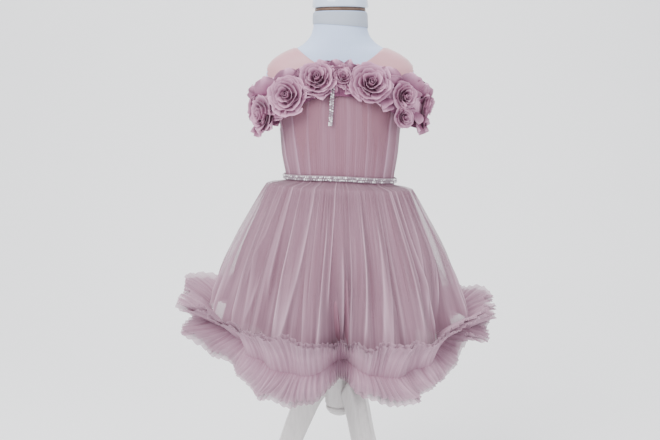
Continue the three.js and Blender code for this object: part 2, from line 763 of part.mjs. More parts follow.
// A leg: a board section with cut corners, swept along its middle line and trimmed on the floor.
function legGeometry() {
  const middle = new THREE.CatmullRomCurve3(
    LEG.map(({ out, up }) => new THREE.Vector3(out, 0, up)),
    false,
    "centripetal",
  );
  const [half, corner] = [LEG_THICKNESS / 2, LEG_CORNER];
  const rings = steps(LEG_STATIONS, 0, 1).map((t) => {
    const place = middle.getPoint(t);
    const tangent = middle.getTangent(t);
    const across = new THREE.Vector3(-tangent.z, 0, tangent.x);
    const depth = column(LEG, "out", "depth", place.x) / 2;
    const outline = [
      [depth, corner - half],
      [depth, half - corner],
      [depth - corner, half],
      [corner - depth, half],
      [-depth, half - corner],
      [-depth, corner - half],
      [corner - depth, -half],
      [depth - corner, -half],
    ];
    return outline.map(([a, b]) =>
      place.clone().addScaledVector(across, a).add(new THREE.Vector3(0, b, 0)),
    );
  });
  const reach = 400;
  const room = block([HUB_RADIUS * 0.5, -reach, 0], [reach, reach, reach]);
  const hubSpace = turned(
    [
      [0, 0],
      [HUB_RADIUS + SEAM + 0.1, 0],
      [HUB_RADIUS + SEAM + 0.1, reach],
      [0, reach],
    ],
    48,
  );
  return toGeometry(toManifold(loft(rings)).intersect(room).subtract(toManifold(hubSpace)));
}

function makeStand() {
  const hub = [
    [0, 212],
    [10, 213.5],
    [18, 218],
    [22.5, 225],
    [22.5, 229],
    [20.5, 230.5],
    [20.5, 232],
    [HUB_RADIUS, 234],
    [HUB_RADIUS, HUB_TOP - 6],
    [HUB_RADIUS - 6, HUB_TOP],
    [0, HUB_TOP],
  ];
  add(stand, "stand_hub", turned(hub, 20), MATERIALS.paint);
  const postTop = WAIST_Z + HIP_HEIGHTS[0] - SEAM;
  const post = [
    [0, HUB_TOP + SEAM],
    [POST_RADIUS, HUB_TOP + SEAM],
    [POST_RADIUS, postTop],
    [0, postTop],
  ];
  add(stand, "stand_post", turned(post, 20), MATERIALS.paint);
  for (const [name, angle] of Object.entries(LEG_ANGLES)) {
    add(stand, name, legGeometry(), MATERIALS.paint).rotation.z = angle * DEG;
  }
}

makeForm();
makeBodice();
makeTrims();
makeSkirts();
makeGarland();
makeStand();

export default part;
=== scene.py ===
import math

import bpy
import numpy as np
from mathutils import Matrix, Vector


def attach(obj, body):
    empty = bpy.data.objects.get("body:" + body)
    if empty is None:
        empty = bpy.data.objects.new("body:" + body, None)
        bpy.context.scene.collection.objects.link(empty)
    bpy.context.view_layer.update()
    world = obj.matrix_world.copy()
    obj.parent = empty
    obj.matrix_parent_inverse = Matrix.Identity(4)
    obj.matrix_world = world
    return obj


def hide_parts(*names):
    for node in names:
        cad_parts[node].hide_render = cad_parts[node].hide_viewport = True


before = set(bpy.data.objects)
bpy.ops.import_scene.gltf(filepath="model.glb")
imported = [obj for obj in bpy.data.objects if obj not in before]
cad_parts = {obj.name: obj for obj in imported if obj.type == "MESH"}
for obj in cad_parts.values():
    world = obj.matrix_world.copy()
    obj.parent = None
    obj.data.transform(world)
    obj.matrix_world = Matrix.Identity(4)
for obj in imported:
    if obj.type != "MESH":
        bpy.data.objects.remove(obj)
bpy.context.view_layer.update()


# Studio
# A seamless pale backdrop that runs from the floor up behind the form, three large soft lights,
# and the camera a little above the waist, 1.4 m away, looking slightly down.

def add_node(tree, kind, inputs=None, **settings):
    """Adds a node, with its settings, and fills its inputs from values or other nodes' outputs."""
    made = tree.nodes.new(kind)
    for name, value in settings.items():
        setattr(made, name, value)
    for socket, value in (inputs or {}).items():
        if isinstance(value, bpy.types.NodeSocket):
            tree.links.new(value, made.inputs[socket])
        else:
            made.inputs[socket].default_value = value
    return made


def linear(hex_colour):
    """An sRGB hex colour as the linear values that Blender's nodes take."""
    channels = [int(hex_colour[i:i + 2], 16) / 255 for i in (1, 3, 5)]
    return [c / 12.92 if c <= 0.04045 else ((c + 0.055) / 1.055) ** 2.4 for c in channels] + [1.0]


def new_material(name, coordinates="Object"):
    """An empty material with its tree, its shader and the coordinates that it is drawn on."""
    material = bpy.data.materials.new(name)
    material.use_nodes = True
    tree = material.node_tree
    tree.nodes.clear()
    shader = add_node(tree, "ShaderNodeBsdfPrincipled")
    add_node(tree, "ShaderNodeOutputMaterial", {"Surface": shader.outputs["BSDF"]})
    return material, tree, shader, add_node(tree, "ShaderNodeTexCoord").outputs[coordinates]


def set_shader(shader, **values):
    """Sets the shader's own sockets, whose names are written with _ for each space."""
    for socket, value in values.items():
        shader.inputs[socket.replace("_", " ")].default_value = value


def two_colours(tree, shader, factor, first, second):
    """Colours the shader between two hex colours by a factor socket."""
    mix = add_node(tree, "ShaderNodeMix", {"Factor": factor, 6: linear(first), 7: linear(second)},
                   data_type="RGBA")
    tree.links.new(mix.outputs[2], shader.inputs["Base Color"])


def bump(tree, shader, height, distance, strength):
    """Raises the surface by a height socket, over a distance in m."""
    made = add_node(tree, "ShaderNodeBump", {"Height": height, "Distance": distance, "Strength": strength})
    tree.links.new(made.outputs["Normal"], shader.inputs["Normal"])


def studio_paper():
    """Seamless background paper: matte and nearly white, with a faint unevenness."""
    material, tree, shader, place = new_material("studio_paper")
    shade = add_node(tree, "ShaderNodeTexNoise", {"Vector": place, "Scale": 2.0})
    two_colours(tree, shader, shade.outputs["Fac"], "#f3f3f4", "#f8f8f8")
    set_shader(shader, Roughness=0.9)
    return material


BACKDROP_HALF_WIDTH = 4.0
FLOOR_START, BEND_START, BEND_RADIUS, BACKDROP_TOP = -3.5, 0.9, 1.2, 4.5
backdrop_section = [(FLOOR_START, 0.0), (BEND_START, 0.0)]
for bend in np.radians(90) * np.arange(1, 17) / 16:
    backdrop_section.append((BEND_START + BEND_RADIUS * math.sin(bend),
                             BEND_RADIUS - BEND_RADIUS * math.cos(bend)))
backdrop_section.append((BEND_START + BEND_RADIUS, BACKDROP_TOP))
backdrop_mesh = bpy.data.meshes.new("backdrop")
backdrop_mesh.from_pydata(
    [(x, y, z) for y, z in backdrop_section for x in (-BACKDROP_HALF_WIDTH, BACKDROP_HALF_WIDTH)],
    [],
    [(2 * i, 2 * i + 1, 2 * i + 3, 2 * i + 2) for i in range(len(backdrop_section) - 1)],
)
backdrop_mesh.shade_smooth()
backdrop = bpy.data.objects.new("backdrop", backdrop_mesh)
bpy.context.collection.objects.link(backdrop)
backdrop_mesh.materials.append(studio_paper())

LIT_POINT = Vector((0, 0, 0.6))
# name, place in m, size in m, power in W
LIGHTS = [
    ("key_light", (-1.3, -1.7, 2.1), 1.5, 78),
    ("fill_light", (1.7, -1.6, 1.3), 1.8, 20),
    ("top_light", (0.1, 0.5, 2.5), 1.6, 42),
]
for name, place, size, power in LIGHTS:
    lamp = bpy.data.lights.new(name, "AREA")
    lamp.size = size
    lamp.energy = power
    light = bpy.data.objects.new(name, lamp)
    light.location = place
    light.rotation_euler = (LIT_POINT - light.location).to_track_quat("-Z", "Y").to_euler()
    bpy.context.collection.objects.link(light)

world = bpy.data.worlds.new("studio")
world.use_nodes = True
world.node_tree.nodes["Background"].inputs["Color"].default_value = linear("#f4f6fb")
world.node_tree.nodes["Background"].inputs["Strength"].default_value = 1.3
bpy.context.scene.world = world

LOOKS_DOWN, LOOKS_LEFT = math.radians(9.5), math.radians(0.64)
camera_data = bpy.data.cameras.new("camera")
camera_data.lens = 48.9
camera = bpy.data.objects.new("camera", camera_data)
camera.location = (0.0, -1.40, 0.770)
camera.rotation_euler = (math.radians(90) - LOOKS_DOWN, 0, LOOKS_LEFT)
bpy.context.collection.objects.link(camera)
bpy.context.scene.camera = camera


# Padded form
# A limbless child-size torso of firm foam under white knitted jersey, with a woven band round the
# neck, a thin disc of wood, dark with its stain and with painted shade from under the cap, and a glossy
# white cap on top.

WAIST_HEIGHT = 600  # mm from the floor; every grid below is in mm from the waist
SQUARENESS = 2.2  # of the torso's plan: 2 is an ellipse
FRONT = math.radians(-90)

# height, half width, half depth, in mm from the waist
FORM_ROWS = np.array([
    (-120, 95, 79),
    (-90, 98, 82),
    (-50, 93, 78),
    (0, 81, 66),
    (45, 87, 70),
    (80, 90, 74),
    (105, 95, 74),
    (130, 106, 70),
    (152, 115, 62),
    (168, 113, 54),
    (182, 105, 47),
    (192, 92, 44),
    (199, 78, 42.5),
    (205, 63, 41.5),
    (213, 52, 41),
    (224, 44, 40.5),
    (240, 40.5, 40),
    (257, 40, 39.5),
], float)


def smooth_between(known, values, at):
    """A smooth line through the rows of a table, which never overshoots them."""
    known, values = np.asarray(known, float), np.asarray(values, float)
    slopes = np.diff(values) / np.diff(known)
    products = slopes[:-1] * slopes[1:]
    sums = slopes[:-1] + slopes[1:]
    means = np.divide(2 * products, sums, out=np.zeros_like(sums), where=products > 0)
    tangents = np.concatenate([slopes[:1], means, slopes[-1:]])
    at = np.clip(at, known[0], known[-1])
    row = np.clip(np.searchsorted(known, at, side="right") - 1, 0, len(slopes) - 1)
    span = known[row + 1] - known[row]
    t = (at - known[row]) / span
    return (values[row] * (1 + 2 * t) * (1 - t) ** 2 + tangents[row] * span * t * (1 - t) ** 2
            + values[row + 1] * t * t * (3 - 2 * t) + tangents[row + 1] * span * t * t * (t - 1))


def read_rows(table, at):
    """Each further column of a table, read smoothly where its first column is at."""
    return [smooth_between(table[:, 0], column, at) for column in table.T[1:]]


def smooth_step(t):
    """A soft rise from 0 at 0 to 1 at 1."""
    t = np.clip(t, 0, 1)
    return t * t * (3 - 2 * t)


def oval_radius(angle, half_width, half_depth, power):
    """Plan radius of an oval at an angle. The higher the power, the squarer the oval."""
    across = np.abs(np.cos(angle) / half_width) ** power
    along = np.abs(np.sin(angle) / half_depth) ** power
    return (across + along) ** (-1 / power)


def skin_point(angle, z):
    """A point of the form's skin at a plan angle and a height over the waist."""
    angle, z = np.broadcast_arrays(np.asarray(angle, float), np.asarray(z, float))
    half_width, half_depth = read_rows(FORM_ROWS, z)
    radius = oval_radius(angle, half_width, half_depth, SQUARENESS)
    return np.stack([radius * np.cos(angle), radius * np.sin(angle), z], -1)


def unit(vectors):
    """The same directions with a length of 1."""
    return vectors / np.maximum(np.linalg.norm(vectors, axis=-1, keepdims=True), 1e-9)


def body_point(angle, z, out):
    """A point that lies out from the form's skin, in mm."""
    along = skin_point(angle + 0.005, z) - skin_point(angle - 0.005, z)
    up = skin_point(angle, z + 0.5) - skin_point(angle, z - 0.5)
    return skin_point(angle, z) + unit(np.cross(along, up)) * np.asarray(out, float)[..., None]


def ring(count):
    """Plan angles round a closed piece from the front centre on, as a grid of one row."""
    return np.linspace(FRONT, FRONT + 2 * math.pi, count, endpoint=False)[None, :]


def grid_object(name, grids, material, closed=False, size=(1.0, 1.0), keep=None, marks=None):
    """A mesh of quads over one or more grids of points in mm from the waist, rows upwards and
    columns anticlockwise. Its UV map runs over size, in m of the real cloth, across and along it.
    keep tells which points of a single grid stay: a face goes where all of its corners do. marks
    is a value for each of its points, kept as the crest attribute."""
    grids = grids if isinstance(grids, list) else [grids]
    vertices, faces, coordinates = [], [], []
    for number, points in enumerate(grids):
        rows, columns = points.shape[:2]
        spans = columns if closed else columns - 1
        row, col = np.meshgrid(np.arange(rows - 1), np.arange(spans), indexing="ij")
        after = (col + 1) % columns
        corners = np.stack([
            row * columns + col, row * columns + after,
            (row + 1) * columns + after, (row + 1) * columns + col,
        ], -1).reshape(-1, 4)
        across = (np.stack([col, col + 1, col + 1, col], -1) / spans + 0.37 * number) * size[0]
        along = np.stack([row, row, row + 1, row + 1], -1) / (rows - 1) * size[1]
        places = np.stack([across, along], -1).reshape(-1, 4, 2)
        if keep is not None:
            stays = keep.ravel()[corners].any(1)
            corners, places = corners[stays], places[stays]
        faces.append(corners + sum(len(v) for v in vertices))
        vertices.append((points.reshape(-1, 3) + (0, 0, WAIST_HEIGHT)) / 1000)
        coordinates.append(places)
    mesh = bpy.data.meshes.new(name)
    vertices, faces = np.concatenate(vertices), np.concatenate(faces)
    used, faces = np.unique(faces, return_inverse=True)
    mesh.from_pydata(vertices[used], [], faces.reshape(-1, 4).tolist())
    uv = mesh.uv_layers.new(name="UVMap")
    uv.data.foreach_set("uv", np.concatenate(coordinates).astype(np.float32).ravel())
    if marks is not None:
        crest = mesh.attributes.new("crest", "FLOAT", "POINT")
        crest.data.foreach_set("value", marks.astype(np.float32).ravel()[used])
    mesh.shade_smooth()
    mesh.materials.append(material)
    made = bpy.data.objects.new(name, mesh)
    bpy.context.collection.objects.link(made)
    return made


def thicken(piece, thickness):
    """Gives a sheet its wall, inwards, in mm."""
    wall = piece.modifiers.new("wall", "SOLIDIFY")
    wall.thickness = thickness / 1000
    wall.offset = -1
    wall.use_quality_normals = True


def finish_piece(piece, replaced):
    """Says what the piece rides on, and hides the solids that it stands for."""
    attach(piece, "root")
    if replaced:
        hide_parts(*replaced)


def jersey():
    """Knitted cotton jersey: matte, cool white, with fine upright ribs of stitches 1.4 mm apart,
    drawn about twice as coarse as the real ones so that they show."""
    material, tree, shader, place = new_material("white_jersey")
    ribs = add_node(tree, "ShaderNodeTexWave", {
        "Vector": place, "Scale": 110.0, "Distortion": 1.2, "Detail": 2.0, "Detail Scale": 3.0,
    }, bands_direction="X")
    soil = add_node(tree, "ShaderNodeTexNoise", {"Vector": place, "Scale": 9.0, "Detail": 3.0})
    two_colours(tree, shader, soil.outputs["Fac"], "#b2c2e0", "#c1d1ee")
    set_shader(shader, Roughness=0.85, Sheen_Weight=0.15, Sheen_Roughness=0.5)
    bump(tree, shader, ribs.outputs["Fac"], 0.0003, 0.25)
    return material


def woven_trim():
    """Cotton tape woven in a plain weave: matte pale grey, threads 0.9 mm apart."""
    material, tree, shader, place = new_material("woven_neck_tape")
    threads = add_node(tree, "ShaderNodeTexWave", {
        "Vector": place, "Scale": 350.0, "Distortion": 0.6,
    }, bands_direction="Z")
    two_colours(tree, shader, threads.outputs["Fac"], "#99a2b1", "#adb5c2")
    set_shader(shader, Roughness=0.8, Sheen_Weight=0.1)
    bump(tree, shader, threads.outputs["Fac"], 0.0003, 0.3)
    return material


def gloss_lacquer():
    """White lacquer on a turned cap: smooth, glossy, with faint waves in the coat."""
    material, tree, shader, place = new_material("white_lacquer")
    waves = add_node(tree, "ShaderNodeTexNoise", {"Vector": place, "Scale": 25.0, "Detail": 1.0})
    two_colours(tree, shader, waves.outputs["Fac"], "#b4c3d8", "#c8d5e6")
    set_shader(shader, Roughness=0.12, IOR=1.5, Coat_Weight=0.5, Coat_Roughness=0.05)
    bump(tree, shader, waves.outputs["Fac"], 0.0006, 0.12)
    return material


def stained_wood_with_painted_shade():
    """Beech stained dark brown, with fine specks of grain. Its dark is partly painted shade, of the
    shadowed gap under the cap's lip.
    """
    material, tree, shader, place = new_material("stained_beech_with_painted_shade")
    grain = add_node(tree, "ShaderNodeTexNoise", {"Vector": place, "Scale": 160.0, "Detail": 4.0})
    two_colours(tree, shader, grain.outputs["Fac"], "#3b2a24", "#7d5f4d")
    set_shader(shader, Roughness=0.45)
    return material


POLE_RADIUS = 0.02  # a turned piece closes to this at its poles, in mm


def lathe_object(name, profile, material):
    """A turned piece about the part's own axis. profile is radius and height over the floor, in mm."""
    angles = ring(96)
    radius, height = np.array(profile, float).T[:, :, None]
    radius = np.maximum(radius, POLE_RADIUS)
    points = np.broadcast_arrays(radius * np.cos(angles), radius * np.sin(angles), height - WAIST_HEIGHT)
    return grid_object(name, np.stack(points, -1), material, closed=True, size=(0.2, 0.1))


CORNER = 1.2  # how far a rounded corner reaches along its two sides, in mm


def rounded(profile):
    """A profile with each inner corner cut to a small curve."""
    points = [profile[0]]
    for before, corner, after in zip(profile, profile[1:], profile[2:]):
        corner, before, after = (np.array(p, float) for p in (corner, before, after))
        reach = min(CORNER, np.linalg.norm(before - corner) * 0.4, np.linalg.norm(after - corner) * 0.4)
        start = corner + unit(before - corner) * reach
        end = corner + unit(after - corner) * reach
        for t in np.linspace(0, 1, 4):
            points.append(tuple((1 - t) ** 2 * start + 2 * t * (1 - t) * corner + t * t * end))
    return points + [profile[-1]]


FORM_FOOT, SHOULDERS, FORM_TOP = FORM_ROWS[0, 0], 190, FORM_ROWS[-1, 0]
form_heights = np.concatenate([
    np.linspace(FORM_FOOT, SHOULDERS, 60), np.linspace(SHOULDERS + 2, FORM_TOP, 40),
])[:, None]
form_points = skin_point(ring(144), form_heights)
torso_foot = form_points[:1] * (1, 1, 0) * 0.001 + (0, 0, FORM_FOOT)
form_points = np.concatenate([torso_foot, form_points])
form_shell = grid_object("jersey_torso", form_points, jersey(), closed=True)
finish_piece(form_shell, ["form_torso"])

TAPE_LOW, TAPE_TOP, TAPE_OUT = 236, 255.5, 1.9
TAPE_TILT = 3.0  # the tape's lower edge dips this much towards +X
tape_angles = ring(120)
tape_rows = np.linspace(0, 1, 9)[:, None]
tape_low = TAPE_LOW - TAPE_TILT * np.cos(tape_angles)
tape = body_point(tape_angles, tape_low + (TAPE_TOP - tape_low) * tape_rows,
                  TAPE_OUT - 0.9 * np.abs(2 * tape_rows - 1) ** 6)
tape_piece = grid_object("neck_tape", tape, woven_trim(), closed=True, size=(0.25, 0.02))
finish_piece(tape_piece, ["form_neck_band"])

def rod_profile(radius, low, top):
    """The profile of a plain turned rod or disc, with its two rims rounded."""
    return rounded([(0, low), (radius, low), (radius, top), (0, top)])


# the disc's dark is partly painted shade from the gap under the cap's lip
disc = lathe_object("wood_disc", rod_profile(38.5, 857.3, 862.3), stained_wood_with_painted_shade())
finish_piece(disc, ["form_neck_disc"])

CAP_LIP, DOME_LOW, DOME_RADIUS, DOME_HEIGHT = 862.6, 870.6, 42.4, 23
cap_lip = rounded([(0, CAP_LIP), (41.5, CAP_LIP), (43, CAP_LIP + 2), (42.5, CAP_LIP + 9)])[:-1]
cap_dome = [
    (DOME_RADIUS * math.cos(turn), DOME_LOW + DOME_HEIGHT * math.sin(turn))
    for turn in np.linspace(0, math.pi / 2, 20)
]
cap = lathe_object("lacquered_cap", cap_lip + cap_dome, gloss_lacquer())
finish_piece(cap, ["form_neck_cap"])


# Stand
# A white painted beech tripod: a post into a turned hub, and three curved legs sawn from board,
# with rounded edges and flat feet.

def gloss_paint():
    """Wood under brushed white gloss paint: smooth and shiny, with faint brush marks along it."""
    material, tree, shader, place = new_material("white_gloss_paint")
    stretched = add_node(tree, "ShaderNodeMapping", {"Vector": place, "Scale": (60.0, 60.0, 9.0)})
    marks = add_node(tree, "ShaderNodeTexNoise", {"Vector": stretched.outputs["Vector"], "Detail": 2.0})
    two_colours(tree, shader, marks.outputs["Fac"], "#b3afae", "#cdc9c7")
    set_shader(shader, Roughness=0.22, IOR=1.5, Coat_Weight=0.3, Coat_Roughness=0.08)
    bump(tree, shader, marks.outputs["Fac"], 0.0005, 0.15)
    return material


paint = gloss_paint()
HUB_PROFILE = [
    (0, 212), (10, 213.5), (18, 218), (22.5, 225), (22.5, 229), (20.5, 230.5), (20.5, 232),
    (24, 234), (24, 300), (18, 306), (0, 306),
]
hub = lathe_object("turned_hub", rounded(HUB_PROFILE), paint)
finish_piece(hub, ["stand_hub"])
post = lathe_object("post", rod_profile(12.5, 306.3, 479.7), paint)
finish_piece(post, ["stand_post"])

LEG_HALF_THICKNESS, LEG_SECTIONS = 11.5, 60
LEG_SQUARENESS = 0.35  # the lower it is, the squarer the board's rounded edges
LEG_START = 24  # along the leg's line, in mm: where it leaves the hub
# distance out from the post, height, and depth of the board, in mm
LEG_ROWS = np.array([
    (10, 282, 46),
    (42, 257, 44),
    (68, 200, 39),
    (92, 138, 34),
    (124, 78, 30),
    (162, 34, 27),
    (195, 13, 27),
    (217, 10.5, 25),
], float)
LEG_ANGLES = {"leg_left": 180, "leg_front": -60, "leg_back": 60}


def turned_by(grid, angle):
    """A grid of points turned about the upright axis."""
    x, y, z = grid[..., 0], grid[..., 1], grid[..., 2]
    return np.stack([x * math.cos(angle) - y * math.sin(angle),
                     x * math.sin(angle) + y * math.cos(angle), z], -1)


def leg_object(name, plan_angle):
    """A board sawn along a curve. Its edges are rounded, and its foot is trimmed on the floor."""
    lengths = np.concatenate([[0], np.cumsum(np.linalg.norm(np.diff(LEG_ROWS[:, :2], axis=0), axis=1))])
    at = np.linspace(LEG_START, lengths[-1], LEG_SECTIONS)
    out, up, depth = (smooth_between(lengths, column, at) for column in LEG_ROWS.T)
    tangent = unit(np.stack([np.gradient(out), np.gradient(up)], -1))
    turns = np.linspace(0, 2 * math.pi, 40, endpoint=False)
    wide = np.sign(np.cos(turns)) * np.abs(np.cos(turns)) ** LEG_SQUARENESS
    thick = np.sign(np.sin(turns)) * np.abs(np.sin(turns)) ** LEG_SQUARENESS * LEG_HALF_THICKNESS
    radial = out[:, None] - tangent[:, 1:] * wide * depth[:, None] / 2
    height = np.maximum(up[:, None] + tangent[:, :1] * wide * depth[:, None] / 2, 0)
    last = LEG_SECTIONS - 1
    between = [(row, 1) for row in range(1, last)]
    sections = []
    for row, end in [(0, 0.001), (0, 0.9), *between, (last, 0.9), (last, 0.001)]:
        out_middle, up_middle = radial[row].mean(), height[row].mean()
        sections.append(np.stack([
            out_middle + (radial[row] - out_middle) * end,
            thick * end,
            np.maximum(up_middle + (height[row] - up_middle) * end, 0),
        ], -1))
    placed = turned_by(np.array(sections), math.radians(plan_angle)) - (0, 0, WAIST_HEIGHT)
    made = grid_object(f"curved_{name}", placed[:, ::-1], paint, closed=True, size=(0.1, 0.35))
    finish_piece(made, [name])


for name, plan_angle in LEG_ANGLES.items():
    leg_object(name, plan_angle)


# Satin bodice
# The dress's own body: a front and two back panels of peach-pink satin cut close to the form, with
# straps over the shoulders, oval armholes and a wide V neck. A hidden zip closes it behind.

LEAN = 0.045  # the waist and skirt sit this much lower for each mm towards +X
WAIST_RISE = 10  # how far the waist seam climbs over the belly, at the front centre
BODICE_TOP = 210  # at this height the bodice's rows lie level
SATIN_OUT, SATIN_THICKNESS, SEAM_DEPTH = 1.8, 1.1, 0.45
ARMHOLE_Z, ARMHOLE_HALF_DEPTH, ARMHOLE_HALF_HEIGHT = 130, 30, 49
NECK_HALF_WIDTH, NECK_Z, NECK_FRONT_DIP, NECK_BACK_DIP = 65, 203, 168, 186


def waist_rise(angle):
    """How far the waist seam stands above its level at the back."""
    return WAIST_RISE * ((1 - np.sin(angle)) / 2) ** 1.7


def waist_level(angle):
    """Height of the leaning waist seam."""
    return waist_rise(angle) - LEAN * skin_point(angle, 0)[..., 0]


def bodice_height(angle, z):
    """A bodice row's height. The lowest one lies 2 mm under the waist seam and follows it."""
    return z + (waist_level(angle) - 2) * (1 - z / BODICE_TOP)


def satin(name, dark, light):
    """Polyester satin: closely woven, with a soft shine and fine crosswise threads. The threads
    are 0.25 mm apart on the real cloth and are drawn 1 mm apart so that they show."""
    material, tree, shader, place = new_material(name)
    threads = add_node(tree, "ShaderNodeTexWave", {
        "Vector": place, "Scale": 300.0, "Distortion": 2.0, "Detail": 2.0,
    }, bands_direction="Z")
    shade = add_node(tree, "ShaderNodeTexNoise", {"Vector": place, "Scale": 30.0, "Detail": 2.0})
    two_colours(tree, shader, shade.outputs["Fac"], dark, light)
    set_shader(shader, Roughness=0.38, Sheen_Weight=0.3, Sheen_Roughness=0.4)
    bump(tree, shader, threads.outputs["Fac"], 0.0002, 0.12)
    return material


def neck_height(x, dip):
    """Height of the neckline at a distance from the middle."""
    share = np.clip(np.abs(x) / NECK_HALF_WIDTH, 0, 1)
    return (1 - share) ** 2 * dip + 2 * share * (1 - share) * (dip + 3) + share ** 2 * NECK_Z


def cut_armholes_and_neck(points, neck=True, extra=0.0):
    """Fits the rim of a shell to the armholes and the neckline. Gives the points, and which of
    them stay."""
    x, y, z = points[..., 0], points[..., 1], points[..., 2]
    arm = np.hypot(y / (ARMHOLE_HALF_DEPTH + extra), (z - ARMHOLE_Z) / (ARMHOLE_HALF_HEIGHT + extra))
    in_arm = arm < 1
    limit = neck_height(x, np.where(y < 0, NECK_FRONT_DIP, NECK_BACK_DIP))
    in_neck = (z > limit) & (np.abs(x) < NECK_HALF_WIDTH + 5) & neck
    fitted = points.copy()
    fitted[..., 1] = np.where(in_arm, y / np.maximum(arm, 0.1), y)
    fitted[..., 2] = np.where(in_arm, ARMHOLE_Z + (z - ARMHOLE_Z) / np.maximum(arm, 0.1), z)
    fitted[..., 2] = np.where(in_neck, limit, fitted[..., 2])
    return fitted, ~(in_arm | in_neck)


bodice_rows = np.concatenate([np.linspace(0, 168, 60), np.linspace(169.5, 206, 44)])[:, None]
bodice_angles = ring(264)
# the side seams and the centre back seam, as dents one degree wide
seam_dent = sum(np.exp(-(((np.degrees(bodice_angles) - at + 180) % 360 - 180) / 0.9) ** 2)
                for at in (0, 90, 180))
satin_points, satin_kept = cut_armholes_and_neck(body_point(
    bodice_angles, bodice_height(bodice_angles, bodice_rows), SATIN_OUT - SEAM_DEPTH * seam_dent,
))
bodice = grid_object("satin_bodice", satin_points, satin("peach_satin", "#bb858b", "#c9989f"),
                     closed=True, size=(0.56, 0.21), keep=satin_kept)
thicken(bodice, SATIN_THICKNESS)
finish_piece(bodice, ["bodice_front", "bodice_back_left", "bodice_back_right"])


# Zip pull
# The hidden zip runs down the centre back seam. Only its slim painted pull shows, under the neck.

def painted_metal():
    """Pressed zinc under a satin enamel in the satin's own pink, faintly uneven."""
    material, tree, shader, place = new_material("enamelled_zinc")
    coat = add_node(tree, "ShaderNodeTexNoise", {"Vector": place, "Scale": 300.0, "Detail": 1.0})
    two_colours(tree, shader, coat.outputs["Fac"], "#b07f7e", "#bd8d8a")
    set_shader(shader, Roughness=0.3, Coat_Weight=0.4, Coat_Roughness=0.1)
    return material


PULL_TOP, PULL_LENGTH, PULL_HALF_WIDTH = 181.0, 15.0, 2.1
pull_turns = ring(20)[0]
pull_wide = PULL_HALF_WIDTH * np.cos(pull_turns)
pull_sine = np.sin(pull_turns)
pull_middle = PULL_TOP - PULL_LENGTH / 2
pull_high = pull_middle + PULL_LENGTH / 2 * np.sign(pull_sine) * np.abs(pull_sine) ** 0.6
pull_out = skin_point(math.radians(90), pull_middle)[1] + SATIN_OUT
pull_rows = [
    np.stack([pull_wide * size, pull_out + out + 0 * pull_wide,
              (pull_high - pull_high.mean()) * size + pull_high.mean()], -1)
    for out, size in [(3.4, 0.01), (3.4, 0.88), (3.1, 1.0), (2.4, 1.0), (2.1, 0.88), (2.1, 0.01)]
]
zip_pull = grid_object("zip_pull", np.array(pull_rows), painted_metal(), closed=True)
finish_piece(zip_pull, [])


# Tulle overlay of the bodice
# Dusty pink tulle laid over the satin in soft upright pleats, drawn in at the waist and held at
# the sides, from the waist seam up to under the garland.

OVERLAY_TOP, OVERLAY_OUT, PLEAT_RISE = 152, 2.7, 1.3
SIDE_SHADE_AT, SIDE_SHADE_WIDTH = 42, 17  # of the painted shade at the sides, in degrees from the front


def tulle(name, dark, light, alpha, doubled, spacing, hem=0.0):
    """Nylon tulle: a sheer matte net whose holes of 1 mm are too fine to show. Along the crest of a fold,
    where it lies double, it is pale with a painted highlight, and where the crest attribute falls below
    zero it is dark with painted shade; between, it is faintly streaked. It covers by alpha, by doubled more
    along a crest, and by hem more at its hem, where the ruffle's edges lie under it."""
    material, tree, shader, place = new_material(name, "UV")
    crest = add_node(tree, "ShaderNodeAttribute", attribute_name="crest").outputs["Fac"]
    drawn = add_node(tree, "ShaderNodeMapping", {"Vector": place, "Scale": (1 / spacing, 3.0, 1.0)})
    streaks = add_node(tree, "ShaderNodeTexNoise", {
        "Vector": drawn.outputs["Vector"], "Scale": 1.0, "Detail": 4.0, "Roughness": 0.7,
    })
    base = add_node(tree, "ShaderNodeMapRange", {
        "Value": streaks.outputs["Fac"], "From Min": 0.3, "From Max": 0.75, "To Max": 0.45,
    })
    # painted highlight along the crests, over faint streaks
    pale = add_node(tree, "ShaderNodeMath", {0: crest, 1: 0.75, 2: base.outputs["Result"]},
                    operation="MULTIPLY_ADD", use_clamp=True)
    two_colours(tree, shader, pale.outputs["Value"], dark, light)
    cover = add_node(tree, "ShaderNodeMapRange", {
        "Value": pale.outputs["Value"], "To Min": alpha, "To Max": alpha + doubled,
    })
    height = add_node(tree, "ShaderNodeSeparateXYZ", {"Vector": place})
    near_hem = add_node(tree, "ShaderNodeMapRange", {
        "Value": height.outputs["Y"], "From Max": 0.09, "To Min": hem, "To Max": 0.0,
    })
    covered = add_node(tree, "ShaderNodeMath", {0: cover.outputs["Result"], 1: near_hem.outputs["Result"]},
                       operation="ADD", use_clamp=True)
    tree.links.new(covered.outputs["Value"], shader.inputs["Alpha"])
    set_shader(shader, Roughness=0.8, Specular_IOR_Level=0.25, Sheen_Weight=0.12, Sheen_Roughness=0.5)
    return material


# degrees from the front centre at the waist and at the top, half width in degrees, strength
LAID_PLEATS = [
    (-112, -118, 5, 0.7), (-84, -92, 5, 0.9), (-66, -74, 4, 1.0), (-49, -54, 4.5, 1.0), (-36, -34, 4, 0.5),
    (-19, -17, 3, 0.2), (-5, -5, 3, 0.15), (8, 8, 3, 0.2), (18, 19, 4, 0.25), (31, 30, 4, 0.6),
    (43, 42, 4, 0.5), (55, 57, 4.5, 0.9), (70, 68, 4, 0.7), (88, 92, 5, 0.9), (113, 117, 5, 0.7),
    (135, 138, 5, 0.6), (152, 154, 4, 0.8), (168, 168, 4, 0.6), (-135, -138, 5, 0.6), (-152, -154, 4, 0.8),
    (-168, -168, 4, 0.6),
]


